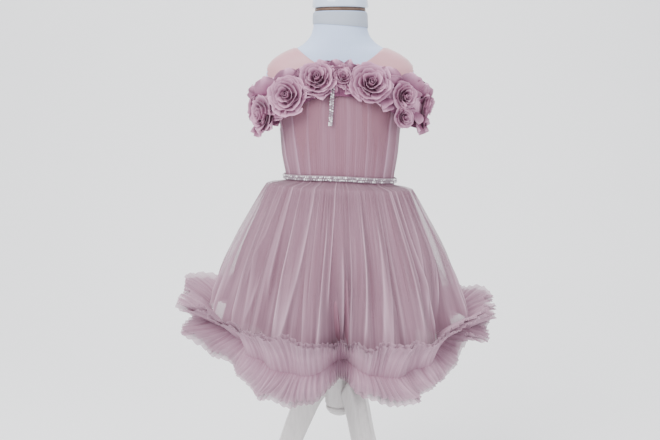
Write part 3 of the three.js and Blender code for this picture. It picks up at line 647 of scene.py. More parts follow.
def laid_pleats(turn, height):
    """Soft pleats of the overlay at degrees from the front and a share of the height: their rise,
    and how far the tulle lies double along them, which is also where it gets its painted highlight."""
    rise, crest = 0, 0
    for at_waist, at_top, width, strength in LAID_PLEATS:
        away = (turn - at_waist - (at_top - at_waist) * height + 180) % 360 - 180
        away = away if at_waist > 0 else -away
        edge = np.where(away > 0, np.exp(-away / width), np.exp(-(away / 0.5) ** 2))
        rise = np.maximum(rise, strength * np.where(away > 0, np.exp(-(away / width) ** 2), edge))
        crest = np.maximum(crest, strength * edge)
    return rise, crest


overlay_angles = ring(1080)
overlay_rows = np.linspace(0, OVERLAY_TOP, 44)[:, None]
overlay_share = overlay_rows / OVERLAY_TOP
overlay_turn = np.degrees(overlay_angles - FRONT) % 360
overlay_rise, overlay_crest = laid_pleats(overlay_turn, overlay_share)
# painted shade at both sides of the front, most of all under the garland: it darkens the tulle and lets it
# cover less
from_front = np.abs((overlay_turn + 180) % 360 - 180)
painted_side_shade = np.exp(-((from_front - SIDE_SHADE_AT) / SIDE_SHADE_WIDTH) ** 2) * smooth_step(overlay_share * 1.5)
waist_phase = 150 * overlay_angles + 2 * np.sin(7 * overlay_angles)
waist_gathers = 0.25 * np.sin(waist_phase) * (1 - overlay_share) ** 2
drawn_in = 0.35 + 0.65 * smooth_step(overlay_rows / 26)
overlay_out = OVERLAY_OUT + PLEAT_RISE * overlay_rise * drawn_in + waist_gathers
overlay_points, overlay_kept = cut_armholes_and_neck(body_point(
    overlay_angles, bodice_height(overlay_angles, overlay_rows), overlay_out,
), neck=False, extra=1.0)
# the crest marks carry the painted highlight along the pleats, and below zero the painted shade at the
# sides
overlay = grid_object("tulle_overlay", overlay_points,
                      tulle("dusty_pink_tulle", "#81576a", "#ab8a9c", 0.64, 0.3, 0.02),
                      closed=True, size=(1.1, 0.16), keep=overlay_kept,
                      marks=overlay_crest - 0.6 * painted_side_shade)
finish_piece(overlay, ["overlay_front", "overlay_back_left", "overlay_back_right"])


# Skirt
# Three gathered layers set into the waist seam: a satin lining, a dense tulle skirt over it, and a
# wider sheer one outside, which falls in large soft folds with the deepest at the front.

HEADING_TOP, HEADING_END = -3, -6.5  # the gathered heading's edges under the waist seam, in mm
# shares of the length at which the puff ends and the big folds start; share of its depth by which
# a big fold lifts the hem
PUFF_END, FOLD_START, FOLD_LIFT = 0.03, 0.35, 0.15
HEM_SQUARENESS = 1.88
RIPPLES = 24
CREASE_WIDTH = 4.2  # half width of the widest crease, in degrees
# plan angle, how far in it goes at the hem, half width in degrees
BIG_FOLDS = [
    (-88, 78, 14),
    (-148, 14, 8),
    (-176, 10, 9),
    (-26, 36, 8),
    (4, 14, 9),
    (36, 22, 11),
    (78, 30, 12),
    (116, 20, 11),
    (152, 18, 10),
]
# heading: out from the form at the waist; hems: plan radii; drops: down from the waist; ripple: how
# deep its even ripples are, all in mm; fold_share: how far it follows the big folds; puff: share of
# the spread that comes at once, where the gathers spring out under the belt; flare: the higher it
# is, the sooner the layer spreads on its way down
OUTER = {
    "heading": 3.8, "hem_left": 214, "hem_right": 211, "hem_front": 168, "hem_back": 170,
    "drop_side": 213, "drop_front": 274, "drop_back": 262, "fold_share": 1.0, "ripple": 5.0,
    "puff": 0.2, "flare": 1.15,
}
INNER = {
    "heading": 2.9, "hem_left": 200, "hem_right": 192, "hem_front": 160, "hem_back": 160,
    "drop_side": 262, "drop_front": 284, "drop_back": 274, "fold_share": 0.92, "ripple": 4.0,
    "puff": 0.19, "flare": 1.15,
}
LINING = {
    "heading": 1.8, "hem_left": 164, "hem_right": 160, "hem_front": 140, "hem_back": 150,
    "drop_side": 218, "drop_front": 248, "drop_back": 243, "fold_share": 0.82, "ripple": 0.0,
    "puff": 0.06, "flare": 1.4,
}


def fold_depth(angle):
    """How far in the big folds go at the hem, in mm."""
    total = 0
    for at, depth, width in BIG_FOLDS:
        away = ((np.degrees(angle) - at + 180) % 360 - 180) / width
        total = total + depth * np.exp(-away * away)
    return total


def skirt_point(layer, angle, share, raised=0.0):
    """A point of a skirt layer at a plan angle and a share of the way from the heading to the hem.
    raised is how far its small folds stand out there."""
    side = np.abs(np.cos(angle)) ** 3
    half_width = np.where(np.cos(angle) > 0, layer["hem_right"], layer["hem_left"])
    half_depth = np.where(np.sin(angle) > 0, layer["hem_back"], layer["hem_front"])
    drop_middle = np.where(np.sin(angle) > 0, layer["drop_back"], layer["drop_front"])
    waist = body_point(angle, HEADING_END, layer["heading"])
    waist_radius = np.hypot(waist[..., 0], waist[..., 1])
    hem_radius = oval_radius(angle, half_width, half_depth, HEM_SQUARENESS)
    fold = fold_depth(angle) * layer["fold_share"] * smooth_step((share - FOLD_START) / (1 - FOLD_START))
    uneven = 0.8 * np.sin(5 * angle) + 0.5 * np.sin(3 * angle + 1)
    grown = (0.2 + 0.8 * smooth_step(share * 2)) * smooth_step(share * 9)
    ripple = layer["ripple"] * grown * np.cos(RIPPLES * angle + uneven)
    sprung = layer["puff"] * smooth_step(share / PUFF_END)
    spread = sprung + (1 - layer["puff"]) * (1 - (1 - share) ** layer["flare"])
    radius = waist_radius + (hem_radius - waist_radius) * spread - fold + ripple + raised
    drop = layer["drop_side"] * side + drop_middle * (1 - side) - fold * FOLD_LIFT
    x, y = radius * np.cos(angle), radius * np.sin(angle)
    z = HEADING_END - (drop + HEADING_END) * share - LEAN * x + waist_rise(angle) * (1 - share)
    return np.stack([x, y, z], -1)


def creases(angle, share, count, seed):
    """Folds that run down a gathered layer at uneven angles, some the whole way and some from part
    of it. Gives their rise, and how far the cloth lies double, which a tulle layer also shows as a
    painted highlight: most along one edge of each fold, and less and less away from it."""
    chances = np.random.default_rng(seed)
    rise, crest = 0, 0
    for number in range(count):
        at = FRONT + 2 * math.pi * (number + chances.uniform(-0.48, 0.48)) / count
        drift, side = chances.normal(0, 0.1), chances.choice([-1, 1])
        start = chances.choice([-0.3, -0.3, 0.05, 0.25, 0.45])
        end = chances.choice([1.6, 1.6, 0.95, 0.75])
        width = math.radians(chances.uniform(0.4, 1.0) * CREASE_WIDTH) * (0.3 + 0.7 * share)
        away = side * ((angle - at - drift * share ** 1.3 + math.pi) % (2 * math.pi) - math.pi)
        length = smooth_step((share - start) / 0.25) * smooth_step((end - share) / 0.25)
        strength = chances.uniform(0.3, 1.0) * length
        sharp, soft = np.exp(-(away / (0.1 * width + 0.002)) ** 2), np.exp(-np.abs(away) / (0.55 * width))
        rise = rise + strength * np.exp(-(away / np.where(away < 0, 0.35 * width, width)) ** 2)
        crest = np.maximum(crest, strength * np.where(away < 0, sharp, soft))
    return np.clip(rise, 0, 1.4), crest


def gathers(angle, share, seed):
    """The fine folds of a gathered layer, in mm: many at the waist, and fewer on the way down."""
    wander = 1.6 * np.sin(5 * angle + seed) + 1.1 * np.sin(9 * angle + 2.3 * seed)
    at_waist = 0.9 * np.sin(146 * angle + 2 * wander) * (1 - smooth_step(share / 0.4))
    lower = np.sin(61 * angle + 2 * wander + seed) + 0.5 * np.sin(97 * angle - 3 * wander)
    return smooth_step(share * 14) * (at_waist + 0.3 * lower)


def skirt_piece(name, layer, columns, rows, seed, count, depth, material, size):
    """A gathered layer with a count of creases of a depth in mm, which die away at its hem. Its
    crest attribute marks where the cloth lies double along one, and where a tulle layer's painted highlight
    goes."""
    angles = ring(columns)
    shares = (np.linspace(1, 0, rows) ** 1.5)[:, None]
    rise, crest = creases(angles, shares, count, seed)
    near_hem = 1 - 0.85 * smooth_step((shares - 0.85) * 8)
    raised = gathers(angles, shares, seed) + depth * rise * smooth_step(shares * 1.6)
    body = skirt_point(layer, angles, shares, raised * near_hem)
    heading = body_point(angles, HEADING_TOP, layer["heading"])
    heading[..., 2] += waist_rise(angles) - LEAN * heading[..., 0]
    return grid_object(name, np.concatenate([body, heading]), material, closed=True, size=size,
                       marks=np.concatenate([crest, crest[-1:]]))


rose_satin = satin("rose_satin", "#8c4f5b", "#9d626c")
lining = skirt_piece("satin_lining", LINING, 360, 48, 4, 30, 3.0, rose_satin, (1.1, 0.25))
thicken(lining, 0.8)
finish_piece(lining, ["skirt_lining"])

dense_net = tulle("dense_pink_tulle", "#794b5b", "#ab8294", 0.84, 0.14, 0.03)
inner_skirt = skirt_piece("dense_tulle_skirt", INNER, 1080, 60, 21, 58, 5.0, dense_net, (3.0, 0.27))
finish_piece(inner_skirt, [])

sheer_net = tulle("sheer_pink_tulle", "#8d6979", "#c8a8b8", 0.42, 0.44, 0.03, hem=0.36)
outer_skirt = skirt_piece("sheer_tulle_skirt", OUTER, 1296, 64, 9, 66, 6.0, sheer_net, (3.4, 0.28))
finish_piece(outer_skirt, ["overskirt"])


# Hem ruffle
# A doubled strip of tulle, gathered tightly along its middle and sewn on the hem, so that one frill
# stands up over the skirt and another hangs below it.

RUFFLE_OUT = 1.2  # the gathered middle stands this far off the sheer layer's hem, in mm
# width in mm; rise in degrees at the front and at the sides; how many degrees more in the middle of
# a lobe (open), and for each mm of a big fold (spread); wave and pleat in mm; curl in degrees
UP_FRILL = {
    "width": 58, "front": 94, "side": 52, "open": -14, "spread": -0.4, "wave": -8, "pleat": 1.8,
    "curl": -8,
}
DOWN_FRILL = {
    "width": 45, "front": -78, "side": -42, "open": 30, "spread": 0.3, "wave": 8, "pleat": 2.6,
    "curl": 4,
}
FRILL_WAVES, FRILL_PLEATS, FRILL_CRIMPS = 30, 168, 295  # all round the hem
FRILL_COLUMNS, FRILL_ROWS = 1344, 10
# plan angles at which the strip is caught in, between its full round lobes
LOBE_ENDS = np.radians([-176, -138, -90, -44, -8, 40, 92, 140, 184])


def lobe_place(angle):
    """Where a plan angle lies in its lobe, from -1 at one end to 1 at the other, and half of the
    lobe's width."""
    turned = (angle - LOBE_ENDS[0]) % (2 * math.pi) + LOBE_ENDS[0]
    number = np.clip(np.searchsorted(LOBE_ENDS, turned, side="right") - 1, 0, len(LOBE_ENDS) - 2)
    half_width = (LOBE_ENDS[number + 1] - LOBE_ENDS[number]) / 2
    return (turned - LOBE_ENDS[number]) / half_width - 1, half_width


def frill_grid(frill, seed, reach=1.0):
    """One frill from the gathered middle of the strip to its free edge. Its folds spread like a fan
    from the middle of each lobe, where it is gathered most."""
    share = np.linspace(0, 1, FRILL_ROWS)[:, None]
    place, half_width = lobe_place(ring(FRILL_COLUMNS))
    fan = half_width * np.sin(math.pi * place)
    full = 1 - place ** 2
    # where the strip is sewn on
    angle = ring(FRILL_COLUMNS) - 0.2 * fan
    hem = skirt_point(OUTER, angle, 1.0)
    along = np.roll(hem, -1, 1) - np.roll(hem, 1, 1)
    up = skirt_point(OUTER, angle, 0.97) - hem
    hem = hem + unit(np.cross(along, up)) * RUFFLE_OUT
    # how steeply it stands or hangs, and how it curls on its way to the free edge
    side = np.cos(angle) ** 4
    spread = np.minimum(fold_depth(angle), 60) * frill["spread"] + frill["open"] * full
    rise = frill["front"] + (frill["side"] - frill["front"]) * side + spread
    rise = np.radians(rise + frill["curl"] * (share ** 1.5 - 0.35))
    # broad waves, pleats and fine crimps, which all grow from the gathers to the free edge
    wander = 1.3 * np.sin(7 * angle + seed) + 0.9 * np.sin(13 * angle + 2 * seed)
    phase = FRILL_WAVES * angle + 0.7 * np.sin(4 * angle)
    uneven = 1 + 0.4 * np.sin(5 * angle + seed)
    wave = frill["wave"] * uneven * (0.5 + 0.5 * np.cos(phase + 0.5 * wander * share)) * share
    pleat_phase = FRILL_PLEATS * angle + 2 * wander
    pleat = frill["pleat"] * np.sin(pleat_phase) * np.sqrt(share)
    crimp = 0.6 * np.sin(FRILL_CRIMPS * angle) * share
    swing = wave + (pleat + crimp)
    # its width, largest in the middle of a lobe, with a small point at each pleat of the free edge
    fullness = (0.68 + 0.46 * full) * (1 - 0.06 * np.cos(angle)) + 0.03 * np.sin(41 * angle + seed)
    length = reach * frill["width"] * share * fullness
    length = length - 0.7 * share ** 3 * (1 + np.cos(pleat_phase))
    out = length * np.cos(rise) - swing * np.sin(rise)
    high = length * np.sin(rise) + swing * np.cos(rise)
    sway = np.radians(1.1) * share * np.sin(phase + 1.2 + wander)
    turned = angle + sway + 0.5 * fan * share
    return np.stack([
        hem[..., 0] + out * np.cos(turned), hem[..., 1] + out * np.sin(turned), hem[..., 2] + high,
    ], -1)


def ruffle_net():
    """Tulle gathered hard: opaque along the gathering line, with painted shade there, and painted light
    and thinner cloth towards the free edges. Rays of painted light and shade between its folds spread from
    the gathers, drawn 3 to 8 mm apart."""
    material, tree, shader, place = new_material("gathered_tulle", "UV")
    drawn = add_node(tree, "ShaderNodeMapping", {"Vector": place, "Scale": (85.0, 7.0, 1.0)})
    rays = add_node(tree, "ShaderNodeTexNoise", {
        "Vector": drawn.outputs["Vector"], "Scale": 1.0, "Detail": 4.0, "Roughness": 0.75,
    })
    # rays of painted light and shade between the folds
    painted_rays = add_node(tree, "ShaderNodeMapRange", {
        "Value": rays.outputs["Fac"], "From Min": 0.34, "From Max": 0.66, "To Min": 0.05, "To Max": 0.6,
    })
    away = add_node(tree, "ShaderNodeAttribute", attribute_name="crest").outputs["Fac"]
    # painted shade along the gathering line, lightening to the free edge
    opened = add_node(tree, "ShaderNodeMath", {0: away, 1: 0.45}, operation="POWER")
    pale = add_node(tree, "ShaderNodeMath", {0: opened.outputs["Value"], 1: 0.5, 2: painted_rays.outputs["Result"]},
                    operation="MULTIPLY_ADD", use_clamp=True)
    two_colours(tree, shader, pale.outputs["Value"], "#7a5064", "#b393a3")
    thin = add_node(tree, "ShaderNodeMapRange", {
        "Value": away, "From Min": 0.55, "From Max": 1.0, "To Min": 1.0, "To Max": 0.66,
    })
    tree.links.new(thin.outputs["Result"], shader.inputs["Alpha"])
    set_shader(shader, Roughness=0.8, Specular_IOR_Level=0.2, Sheen_Weight=0.15, Sheen_Roughness=0.5)
    return material


# each strip is doubled, so a second layer lies in each frill, a little shorter and more open
frills = [
    frill_grid(DOWN_FRILL, 0.3)[::-1],
    frill_grid({**DOWN_FRILL, "front": -69, "side": -33}, 0.7, 0.93)[::-1],
    frill_grid(UP_FRILL, 1.9),
    frill_grid({**UP_FRILL, "front": 89, "side": 45}, 2.3, 0.95),
]
# here the crest attribute is each point's share of the way from the gathers to the free edge, which the
# ruffle's tulle paints from shade to light
from_gathers = np.repeat(np.linspace(0, 1, FRILL_ROWS), FRILL_COLUMNS)
frill_marks = np.concatenate([from_gathers[::-1], from_gathers[::-1], from_gathers, from_gathers])
ruffle = grid_object("gathered_hem_ruffle", frills, ruffle_net(), closed=True, size=(3.4, 0.045),
                     marks=frill_marks)
finish_piece(ruffle, ["hem_ruffle"])


# Garland band
# A strip of mauve chiffon gathered on both edges, which runs off the shoulders round both arms and
# ends at the back. It carries the roses.

# turn from the front centre in degrees, low and high edge, how far each edge stands off the bodice
BAND_ROWS = np.array([
    (0, 131, 172, 0, 0),
    (25, 128, 171, 0, 0),
    (45, 114, 166, 5, 0),
    (65, 93, 158, 20, 4),
    (90, 78, 147, 33, 12),
    (110, 82, 138, 22, 12),
    (134, 104, 130, 0, 0),
], float)
BAND_OUT, BAND_END = 6.3, BAND_ROWS[-1, 0]
BAND_GATHERS = 74  # as many as would go all round
PETAL_STRIP = 0.03  # width of a petal's cloth along its UV map, in m


def band_point(turn, share, out):
    """A point of the band at degrees from the front and a share of its height."""
    turn, share = np.broadcast_arrays(np.asarray(turn, float), np.asarray(share, float))
    low, high, out_low, out_high = read_rows(BAND_ROWS, np.abs(turn))
    angle = FRONT + np.radians(turn)
    stand_off = out_low + (out_high - out_low) * share
    away = np.stack([np.cos(angle), np.sin(angle), 0 * angle], -1)
    return body_point(angle, low + (high - low) * share, BAND_OUT + out) + away * stand_off[..., None]


def chiffon():
    """Crinkled polyester chiffon: thin and matte with a faint sheen, with painted shade towards each
    petal's foot and painted light towards its rim. Its crepe of 0.4 mm is drawn 1 mm apart."""
    material, tree, shader, place = new_material("mauve_chiffon")
    crepe = add_node(tree, "ShaderNodeTexNoise", {"Vector": place, "Scale": 700.0, "Detail": 2.0})
    patches = add_node(tree, "ShaderNodeTexNoise", {"Vector": place, "Scale": 60.0, "Detail": 2.0})
    on_cloth = add_node(tree, "ShaderNodeSeparateXYZ", {"Vector": place.node.outputs["UV"]})
    # painted shade at each petal's foot rising to painted light at its rim, by the height on the UV map
    rise = add_node(tree, "ShaderNodeMath", {0: on_cloth.outputs["Y"], 1: 1 / PETAL_STRIP},
                    operation="MULTIPLY", use_clamp=True)
    painted_rim_light = add_node(tree, "ShaderNodeMath", {0: rise.outputs["Value"], 1: 2.2}, operation="POWER")
    mixed = add_node(tree, "ShaderNodeMath", {0: patches.outputs["Fac"], 1: 0.4, 2: painted_rim_light.outputs["Value"]},
                     operation="MULTIPLY_ADD")
    factor = add_node(tree, "ShaderNodeMapRange", {
        "Value": mixed.outputs["Value"], "From Min": 0.15, "From Max": 1.2,
    })
    two_colours(tree, shader, factor.outputs["Result"], "#74405d", "#cf9fb9")
    set_shader(shader, Roughness=0.7, Specular_IOR_Level=0.25, Sheen_Weight=0.15, Sheen_Roughness=0.4)
    bump(tree, shader, crepe.outputs["Fac"], 0.0003, 0.3)
    return material


mauve = chiffon()
band_turns = np.linspace(-BAND_END, BAND_END, 720)[None, :]
band_shares = np.linspace(0, 1, 18)[:, None]
band_phase = np.radians(band_turns) * BAND_GATHERS + 1.5 * np.sin(np.radians(8 * band_turns))
band_puff = 1.9 * np.sin(np.pi * band_shares) + 0.35
band_folds = band_puff * (0.5 + 0.5 * np.sin(band_phase)) ** 2 + 0.25 * np.sin(2.7 * band_phase)
band = grid_object("gathered_chiffon_band", band_point(band_turns, band_shares, band_folds), mauve,
                   size=(1.1, 0.06))
finish_piece(band, ["garland_band"])


# Chiffon roses
# Nine roses of overlapping chiffon petals, tight and upright in the middle and open outside, each
# wound and sewn to the band by hand. No two are the same.

# turn along the band in degrees, height over the waist, radius, lift off the band
ROSES = [
    (-97, 110, 21, 1.8),
    (-71, 106, 22, 0.8),
    (-51, 132, 24.5, 0.0),
    (-29, 153, 23.5, 0.0),
    (4, 156, 14, 0.0),
    (35, 146, 26, 0.0),
    (60, 132, 17, -0.2),
    (58, 102, 13.5, 0.2),
    (84, 121, 19, 0.5),
]
ROSE_OFF_BAND = 1.95
ROSE_OPENING = 1.05  # a sewn rose opens this much wider than the solid that stands for it


def band_frame(turn, z):
    """The band's share of height at z there, and its outward, along and upward directions."""
    low, high = read_rows(BAND_ROWS, abs(turn))[:2]
    share = (z - low) / (high - low)
    along = unit(band_point(turn + 4, share, 0) - band_point(turn - 4, share, 0))
    upward = band_point(turn, share + 0.1, 0) - band_point(turn, share - 0.1, 0)
    outward = unit(np.cross(along, upward))
    return share, outward, along, np.cross(outward, along)


# petals in the ring; foot, reach and height as shares of the rose's radius; half turn in degrees
PETAL_RINGS = [
    (3, 0.20, 0.40, 0.72, 82),
    (4, 0.25, 0.62, 0.62, 68),
    (5, 0.29, 0.86, 0.46, 56),
    (6, 0.33, 1.10, 0.24, 46),
]


def petal_grid(radius, ring_row, chance):
    """One cupped petal about a rose's axis, with a lip that turns outwards."""
    _, foot, reach, height, half_turn = ring_row
    u = np.linspace(-1, 1, 13)[None, :]
    v = np.linspace(0, 1, 9)[:, None]
    rise = v * (0.55 + 0.45 * np.sqrt(1 - (0.96 * u) ** 4)) * math.radians(90)
    lip = smooth_step((v - 0.75) / 0.25) * 0.08
    crimp = 0.05 * v ** 2 * np.sin(u * (4.5 + 2 * chance[3]) + 6 * chance[1])
    crimp = crimp + 0.02 * v ** 3 * np.sin(13 * u + 9 * chance[2])
    out = foot + (reach * (1 + 0.08 * chance[1]) - foot) * np.sin(rise) ** 1.1 + lip + crimp + 0.06 * u
    lift = height * (1 + 0.1 * chance[2]) * (1 - np.cos(rise)) ** 0.8 - 0.4 * lip + 0.6 * crimp
    turn = math.radians(half_turn) * (1 + 0.1 * chance[0]) * u * (0.75 + 0.25 * v)
    return radius * np.stack([out * np.cos(turn), out * np.sin(turn), lift], -1)


def rolled_heart(radius, chances):
    """The heart of a rose: a strip rolled up round itself, with a wavy upper edge."""
    along = np.linspace(0, 1, 44)[None, :]
    up = np.linspace(0, 1, 6)[:, None]
    turn = 1 + 13 * along
    out = (0.03 + 0.22 * along) * (0.85 + 0.15 * up) + 0.015 * np.sin(5 * turn) * up
    top = 0.76 - 0.08 * along + 0.04 * np.sin(3.3 * turn + chances.uniform(0, 6))
    return radius * np.stack([out * np.cos(turn), out * np.sin(turn), top * (0.1 + 0.9 * up)], -1)


def rose_petals(radius, chances):
    """The petals of a rose that opens towards +Z: rings of them round a rolled heart."""
    petals = [rolled_heart(radius, chances)]
    for ring_row in PETAL_RINGS:
        first = chances.uniform(0, 6)
        for k in range(ring_row[0]):
            grid = petal_grid(radius, ring_row, chances.uniform(-1, 1, 4))
            turn = first + 2 * math.pi * k / ring_row[0] + chances.uniform(-0.2, 0.2)
            petals.append(turned_by(grid, turn))
    return petals


for number, (turn, z, radius, lift) in enumerate(ROSES, 1):
    chances = np.random.default_rng(40 + number)
    share, outward, along, upward = band_frame(turn, z)
    centre = band_point(turn, share, ROSE_OFF_BAND + lift)
    petals = [
        centre + grid[..., :1] * along + grid[..., 1:2] * upward + grid[..., 2:] * outward
        for grid in rose_petals(radius * ROSE_OPENING, chances)
    ]
    rose = grid_object(f"chiffon_rose_{number}", petals, mauve, size=(0.05, PETAL_STRIP))
    finish_piece(rose, [f"rose_{number}"])


# Loose petals of the garland
# Ruffled chiffon petals sewn on between the roses and round the band's ends, so that the band
# hardly shows. A few by the middle rose stand up over the neckline.

def loose_petal(turn, z, length, width, spin, tilt, chance):
    """An open ruffled petal that starts on the band and stands out from it at a tilt."""
    u = np.linspace(-1, 1, 13)[None, :]
    v = np.linspace(0, 1, 8)[:, None]
    share, outward, along, upward = band_frame(turn, z)
    root = band_point(turn, share, ROSE_OFF_BAND - 1.2)
    point_to = math.cos(spin) * along + math.sin(spin) * upward
    across = np.cross(outward, point_to)
    spread = width / 2 * u * np.sin(math.pi * (0.12 + 0.78 * v)) ** 0.7
    ahead = length * v * (1 - 0.16 * u ** 2)
    cup = 0.25 * width * u ** 2 * v + 1.8 * v ** 2 * np.sin(4.6 * u + 5 * chance) + 0.9 * v * np.sin(11 * u)
    bent = math.radians(tilt) * (1 - 0.45 * v)
    flat = ahead * np.cos(bent) - cup * np.sin(bent)
    high = ahead * np.sin(bent) + cup * np.cos(bent)
    return root + flat[..., None] * point_to + spread[..., None] * across + high[..., None] * outward


LOOSE_PETALS = 70
STRAND_FREE = (-20, 12)  # no petal hangs down between these turns, in front of the strand
petal_chances = np.random.default_rng(7)
loose = []
for turn in np.linspace(-131, 130, LOOSE_PETALS):
    low, high = read_rows(BAND_ROWS, abs(turn))[:2]
    place = petal_chances.uniform(0.2, 0.85)
    downward = place < 0.5 and not STRAND_FREE[0] < turn < STRAND_FREE[1]
    spin = math.radians(-90 if downward else 90) + petal_chances.uniform(-0.8, 0.8)
    loose.append(loose_petal(
        turn, low + (high - low) * place, petal_chances.uniform(14, 20), petal_chances.uniform(24, 34),
        spin, petal_chances.uniform(15, 45), petal_chances.uniform(-1, 1)))
# turn, height, length, width, spin and tilt of the petals round the middle rose, under the arms,
# over the shoulders and at the band's ends, sewn on last
for turn, z, length, width, spin, tilt in [
    (9, 160, 24, 18, 78, 24), (24, 158, 18, 26, 100, 35), (-14, 156, 18, 26, 70, 35),
    (7, 147, 12, 20, -85, 30), (15, 145, 14, 24, -80, 35),
    (-84, 92, 20, 32, -92, 15), (-66, 98, 20, 32, -76, 18), (-76, 86, 18, 30, -84, 10),
    (84, 94, 20, 32, -88, 12), (74, 92, 20, 30, -96, 16), (95, 92, 20, 32, -84, 12),
    (-66, 138, 26, 44, 98, 14), (-52, 146, 26, 44, 82, 16), (-40, 152, 22, 36, 90, 22),
    (-122, 118, 22, 30, 165, 12), (-128, 110, 20, 28, 185, 14), (-116, 106, 20, 30, 200, 12),
    (122, 118, 22, 30, 15, 12), (128, 110, 20, 28, -5, 14), (114, 106, 20, 30, -20, 12),
    (50, 150, 24, 40, 96, 16), (64, 142, 26, 44, 84, 14), (76, 132, 24, 38, 80, 20),
]:
    loose.append(loose_petal(turn, z, length, width, math.radians(spin), tilt, 0.4))
fillers = grid_object("loose_chiffon_petals", loose, mauve, size=(0.03, PETAL_STRIP))
finish_piece(fillers, [])


# Jewelled belt and strand
# Clear stones in small metal cups, sewn in two rows on a satin ribbon over the waist seam, and in
# two rows on a narrow strand that hangs from the garland at the front.

BELT_HALF_HEIGHT, BELT_OUT, RIBBON_THICKNESS = 4.6, 6.3, 0.7
BELT_STONES, STONE_ROW_HEIGHT, STONE_LIFT = 128, 2.1, 0.3
STONE = {"Stone Radius": 0.0017, "Stone Height": 0.0012, "Cup Height": 0.0006}


def ribbon():
    """Narrow satin ribbon: pale grey-pink, closely woven, with a soft shine."""
    material, tree, shader, place = new_material("pale_ribbon")
    threads = add_node(tree, "ShaderNodeTexNoise", {"Vector": place, "Scale": 900.0, "Detail": 1.0})
    two_colours(tree, shader, threads.outputs["Fac"], "#836a76", "#98808b")
    set_shader(shader, Roughness=0.5, Sheen_Weight=0.1)
    return material


def rhinestone():
    """Foil-backed cut glass, mirror-like and soft white, with painted glints: its facets are painted
    between dim mauve and white, each a little different.
    """
    material, tree, shader, place = new_material("cut_glass_stones")
    facets = add_node(tree, "ShaderNodeTexVoronoi", {"Vector": place, "Scale": 300.0})
    shine = add_node(tree, "ShaderNodeSeparateXYZ", {"Vector": facets.outputs["Color"]})
    # painted glints and reflections: each cell of facets painted between dim mauve and white
    painted_glints = add_node(tree, "ShaderNodeMapRange", {
        "Value": shine.outputs["X"], "From Min": 0.45, "From Max": 0.85,
    })
    two_colours(tree, shader, painted_glints.outputs["Result"], "#8d7c88", "#ffffff")
    set_shader(shader, Roughness=0.1, Coat_Weight=0.6, Coat_Roughness=0.03)
    return material


def stone_tree(material):
    """Sets a cut stone in a cup on every point, turned the way the point's outward attribute says."""
    tree = bpy.data.node_groups.new("set_stones", "GeometryNodeTree")
    tree.interface.new_socket("Geometry", in_out="INPUT", socket_type="NodeSocketGeometry")
    for name in STONE:
        tree.interface.new_socket(name, in_out="INPUT", socket_type="NodeSocketFloat")
    tree.interface.new_socket("Geometry", in_out="OUTPUT", socket_type="NodeSocketGeometry")
    given = add_node(tree, "NodeGroupInput")
    top = add_node(tree, "ShaderNodeMath", {0: given.outputs["Stone Radius"], 1: 0.5}, operation="MULTIPLY")
    cut = add_node(tree, "GeometryNodeMeshCone", {
        "Vertices": 8, "Radius Top": top.outputs[0], "Radius Bottom": given.outputs["Stone Radius"],
        "Depth": given.outputs["Stone Height"],
    })
    cup = add_node(tree, "GeometryNodeMeshCone", {
        "Vertices": 8, "Radius Top": given.outputs["Stone Radius"],
        "Radius Bottom": top.outputs[0], "Depth": given.outputs["Cup Height"],
    })
    raise_cut = add_node(tree, "ShaderNodeCombineXYZ", {"Z": given.outputs["Cup Height"]})
    cut_up = add_node(tree, "GeometryNodeTransform", {
        "Geometry": cut.outputs["Mesh"], "Translation": raise_cut.outputs["Vector"],
    })
    stone = add_node(tree, "GeometryNodeJoinGeometry")
    tree.links.new(cup.outputs["Mesh"], stone.inputs["Geometry"])
    tree.links.new(cut_up.outputs["Geometry"], stone.inputs["Geometry"])
    outward = add_node(tree, "GeometryNodeInputNamedAttribute", {"Name": "outward"},
                       data_type="FLOAT_VECTOR")
    facing = add_node(tree, "FunctionNodeAlignRotationToVector",
                      {"Vector": outward.outputs["Attribute"]}, axis="Z")
    size = add_node(tree, "FunctionNodeRandomValue", {2: 0.92, 3: 1.06, "Seed": 5}, data_type="FLOAT")
    placed = add_node(tree, "GeometryNodeInstanceOnPoints", {
        "Points": given.outputs["Geometry"], "Instance": stone.outputs["Geometry"],
        "Rotation": facing.outputs["Rotation"], "Scale": size.outputs[1],
    })
    real = add_node(tree, "GeometryNodeRealizeInstances", {"Geometry": placed.outputs["Instances"]})
    dressed = add_node(tree, "GeometryNodeSetMaterial", {
        "Geometry": real.outputs["Geometry"], "Material": material,
    })
    add_node(tree, "NodeGroupOutput", {"Geometry": dressed.outputs["Geometry"]})
    return tree


stones = rhinestone()
stone_nodes = stone_tree(stones)


def set_stones(name, points, outwards):
    """Runs the stone tree over points in mm from the waist, and keeps the result as a mesh."""
    mesh = bpy.data.meshes.new(name)
    mesh.from_pydata((points + (0, 0, WAIST_HEIGHT)) / 1000, [], [])
    attribute = mesh.attributes.new("outward", "FLOAT_VECTOR", "POINT")
    attribute.data.foreach_set("vector", outwards.astype(np.float32).ravel())
    carrier = bpy.data.objects.new(name, mesh)
    bpy.context.collection.objects.link(carrier)
    modifier = carrier.modifiers.new("stones", "NODES")
    modifier.node_group = stone_nodes
    for socket in stone_nodes.interface.items_tree:
        if socket.in_out == "INPUT" and socket.name in STONE:
            modifier[socket.identifier] = STONE[socket.name]
    evaluated = carrier.evaluated_get(bpy.context.evaluated_depsgraph_get())
    carrier.data = bpy.data.meshes.new_from_object(evaluated)
    carrier.modifiers.clear()
    carrier.data.materials.clear()
    carrier.data.materials.append(stones)
    finish_piece(carrier, [])


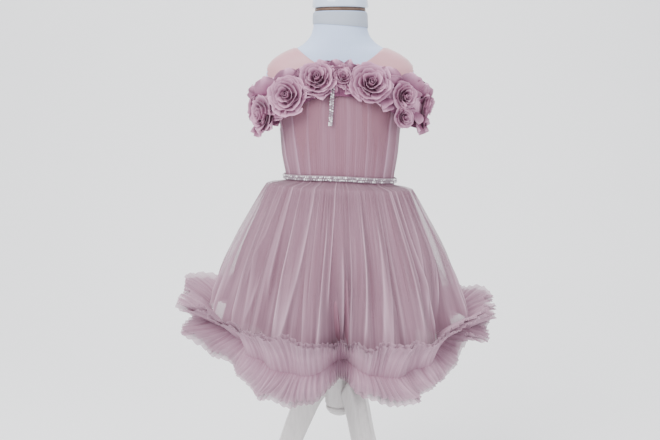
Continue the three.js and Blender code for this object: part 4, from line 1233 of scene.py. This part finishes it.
belt_angles = ring(300)
belt_rows = np.linspace(-1, 1, 5)[:, None]
belt_heights = BELT_HALF_HEIGHT * belt_rows + waist_level(belt_angles)
belt_points = body_point(belt_angles, belt_heights, BELT_OUT - 0.4 * belt_rows ** 4)
belt = grid_object("waist_ribbon", belt_points, ribbon(), closed=True, size=(0.5, 0.0092))
thicken(belt, RIBBON_THICKNESS)
finish_piece(belt, ["waist_belt"])

stone_points, stone_outward = [], []
for level in (-1, 1):
    angles = ring(BELT_STONES)[0] + (level > 0) * math.pi / BELT_STONES
    heights = level * STONE_ROW_HEIGHT + waist_level(angles)
    base = body_point(angles, heights, BELT_OUT + STONE_LIFT)
    stone_points.append(base)
    stone_outward.append(unit(body_point(angles, heights, BELT_OUT + 5) - base))
set_stones("belt_stones", np.concatenate(stone_points), np.concatenate(stone_outward))

# places across and up, in mm; how far the strand stands off the form over the bodice and over the
# garland's band; the height at which it has fallen back to the bodice, under the band
STRAND_TOP, STRAND_END = np.array((-10, 148)), np.array((-13.5, 90))
OVER_BODICE, OVER_BAND, FALLEN_BACK = 5.8, 8.5, 118
STRAND_STONES = 17
strand_rows = np.linspace(0, 1, 40)


def strand_place(share, aside):
    """A point on the strand's face, and the way it faces."""
    x, z = STRAND_TOP[:, None] + (STRAND_END - STRAND_TOP)[:, None] * share
    x = x + aside
    out = OVER_BODICE + (OVER_BAND - OVER_BODICE) * smooth_step((z - FALLEN_BACK) / 8)
    angle = FRONT + np.arcsin(x / np.abs(skin_point(FRONT, z)[..., 1]))
    base = body_point(angle, z, out + 0.9)
    return base, unit(body_point(angle, z, out + 5) - base)


strand_tape = grid_object(
    "strand_tape",
    np.stack([strand_place(1 - strand_rows, aside)[0] for aside in (-2.2, -0.7, 0.7, 2.2)], 1),
    ribbon(), size=(0.005, 0.062))
thicken(strand_tape, RIBBON_THICKNESS)
finish_piece(strand_tape, ["jewel_strand"])
links = np.linspace(0, 1, STRAND_STONES)
left_stones, left_facing = strand_place(links, -1.6)
right_stones, right_facing = strand_place((links + 0.03).clip(0, 1), 1.6)
set_stones("strand_stones", np.concatenate([left_stones, right_stones]) + (0, -0.2, 0),
           np.concatenate([left_facing, right_facing]))
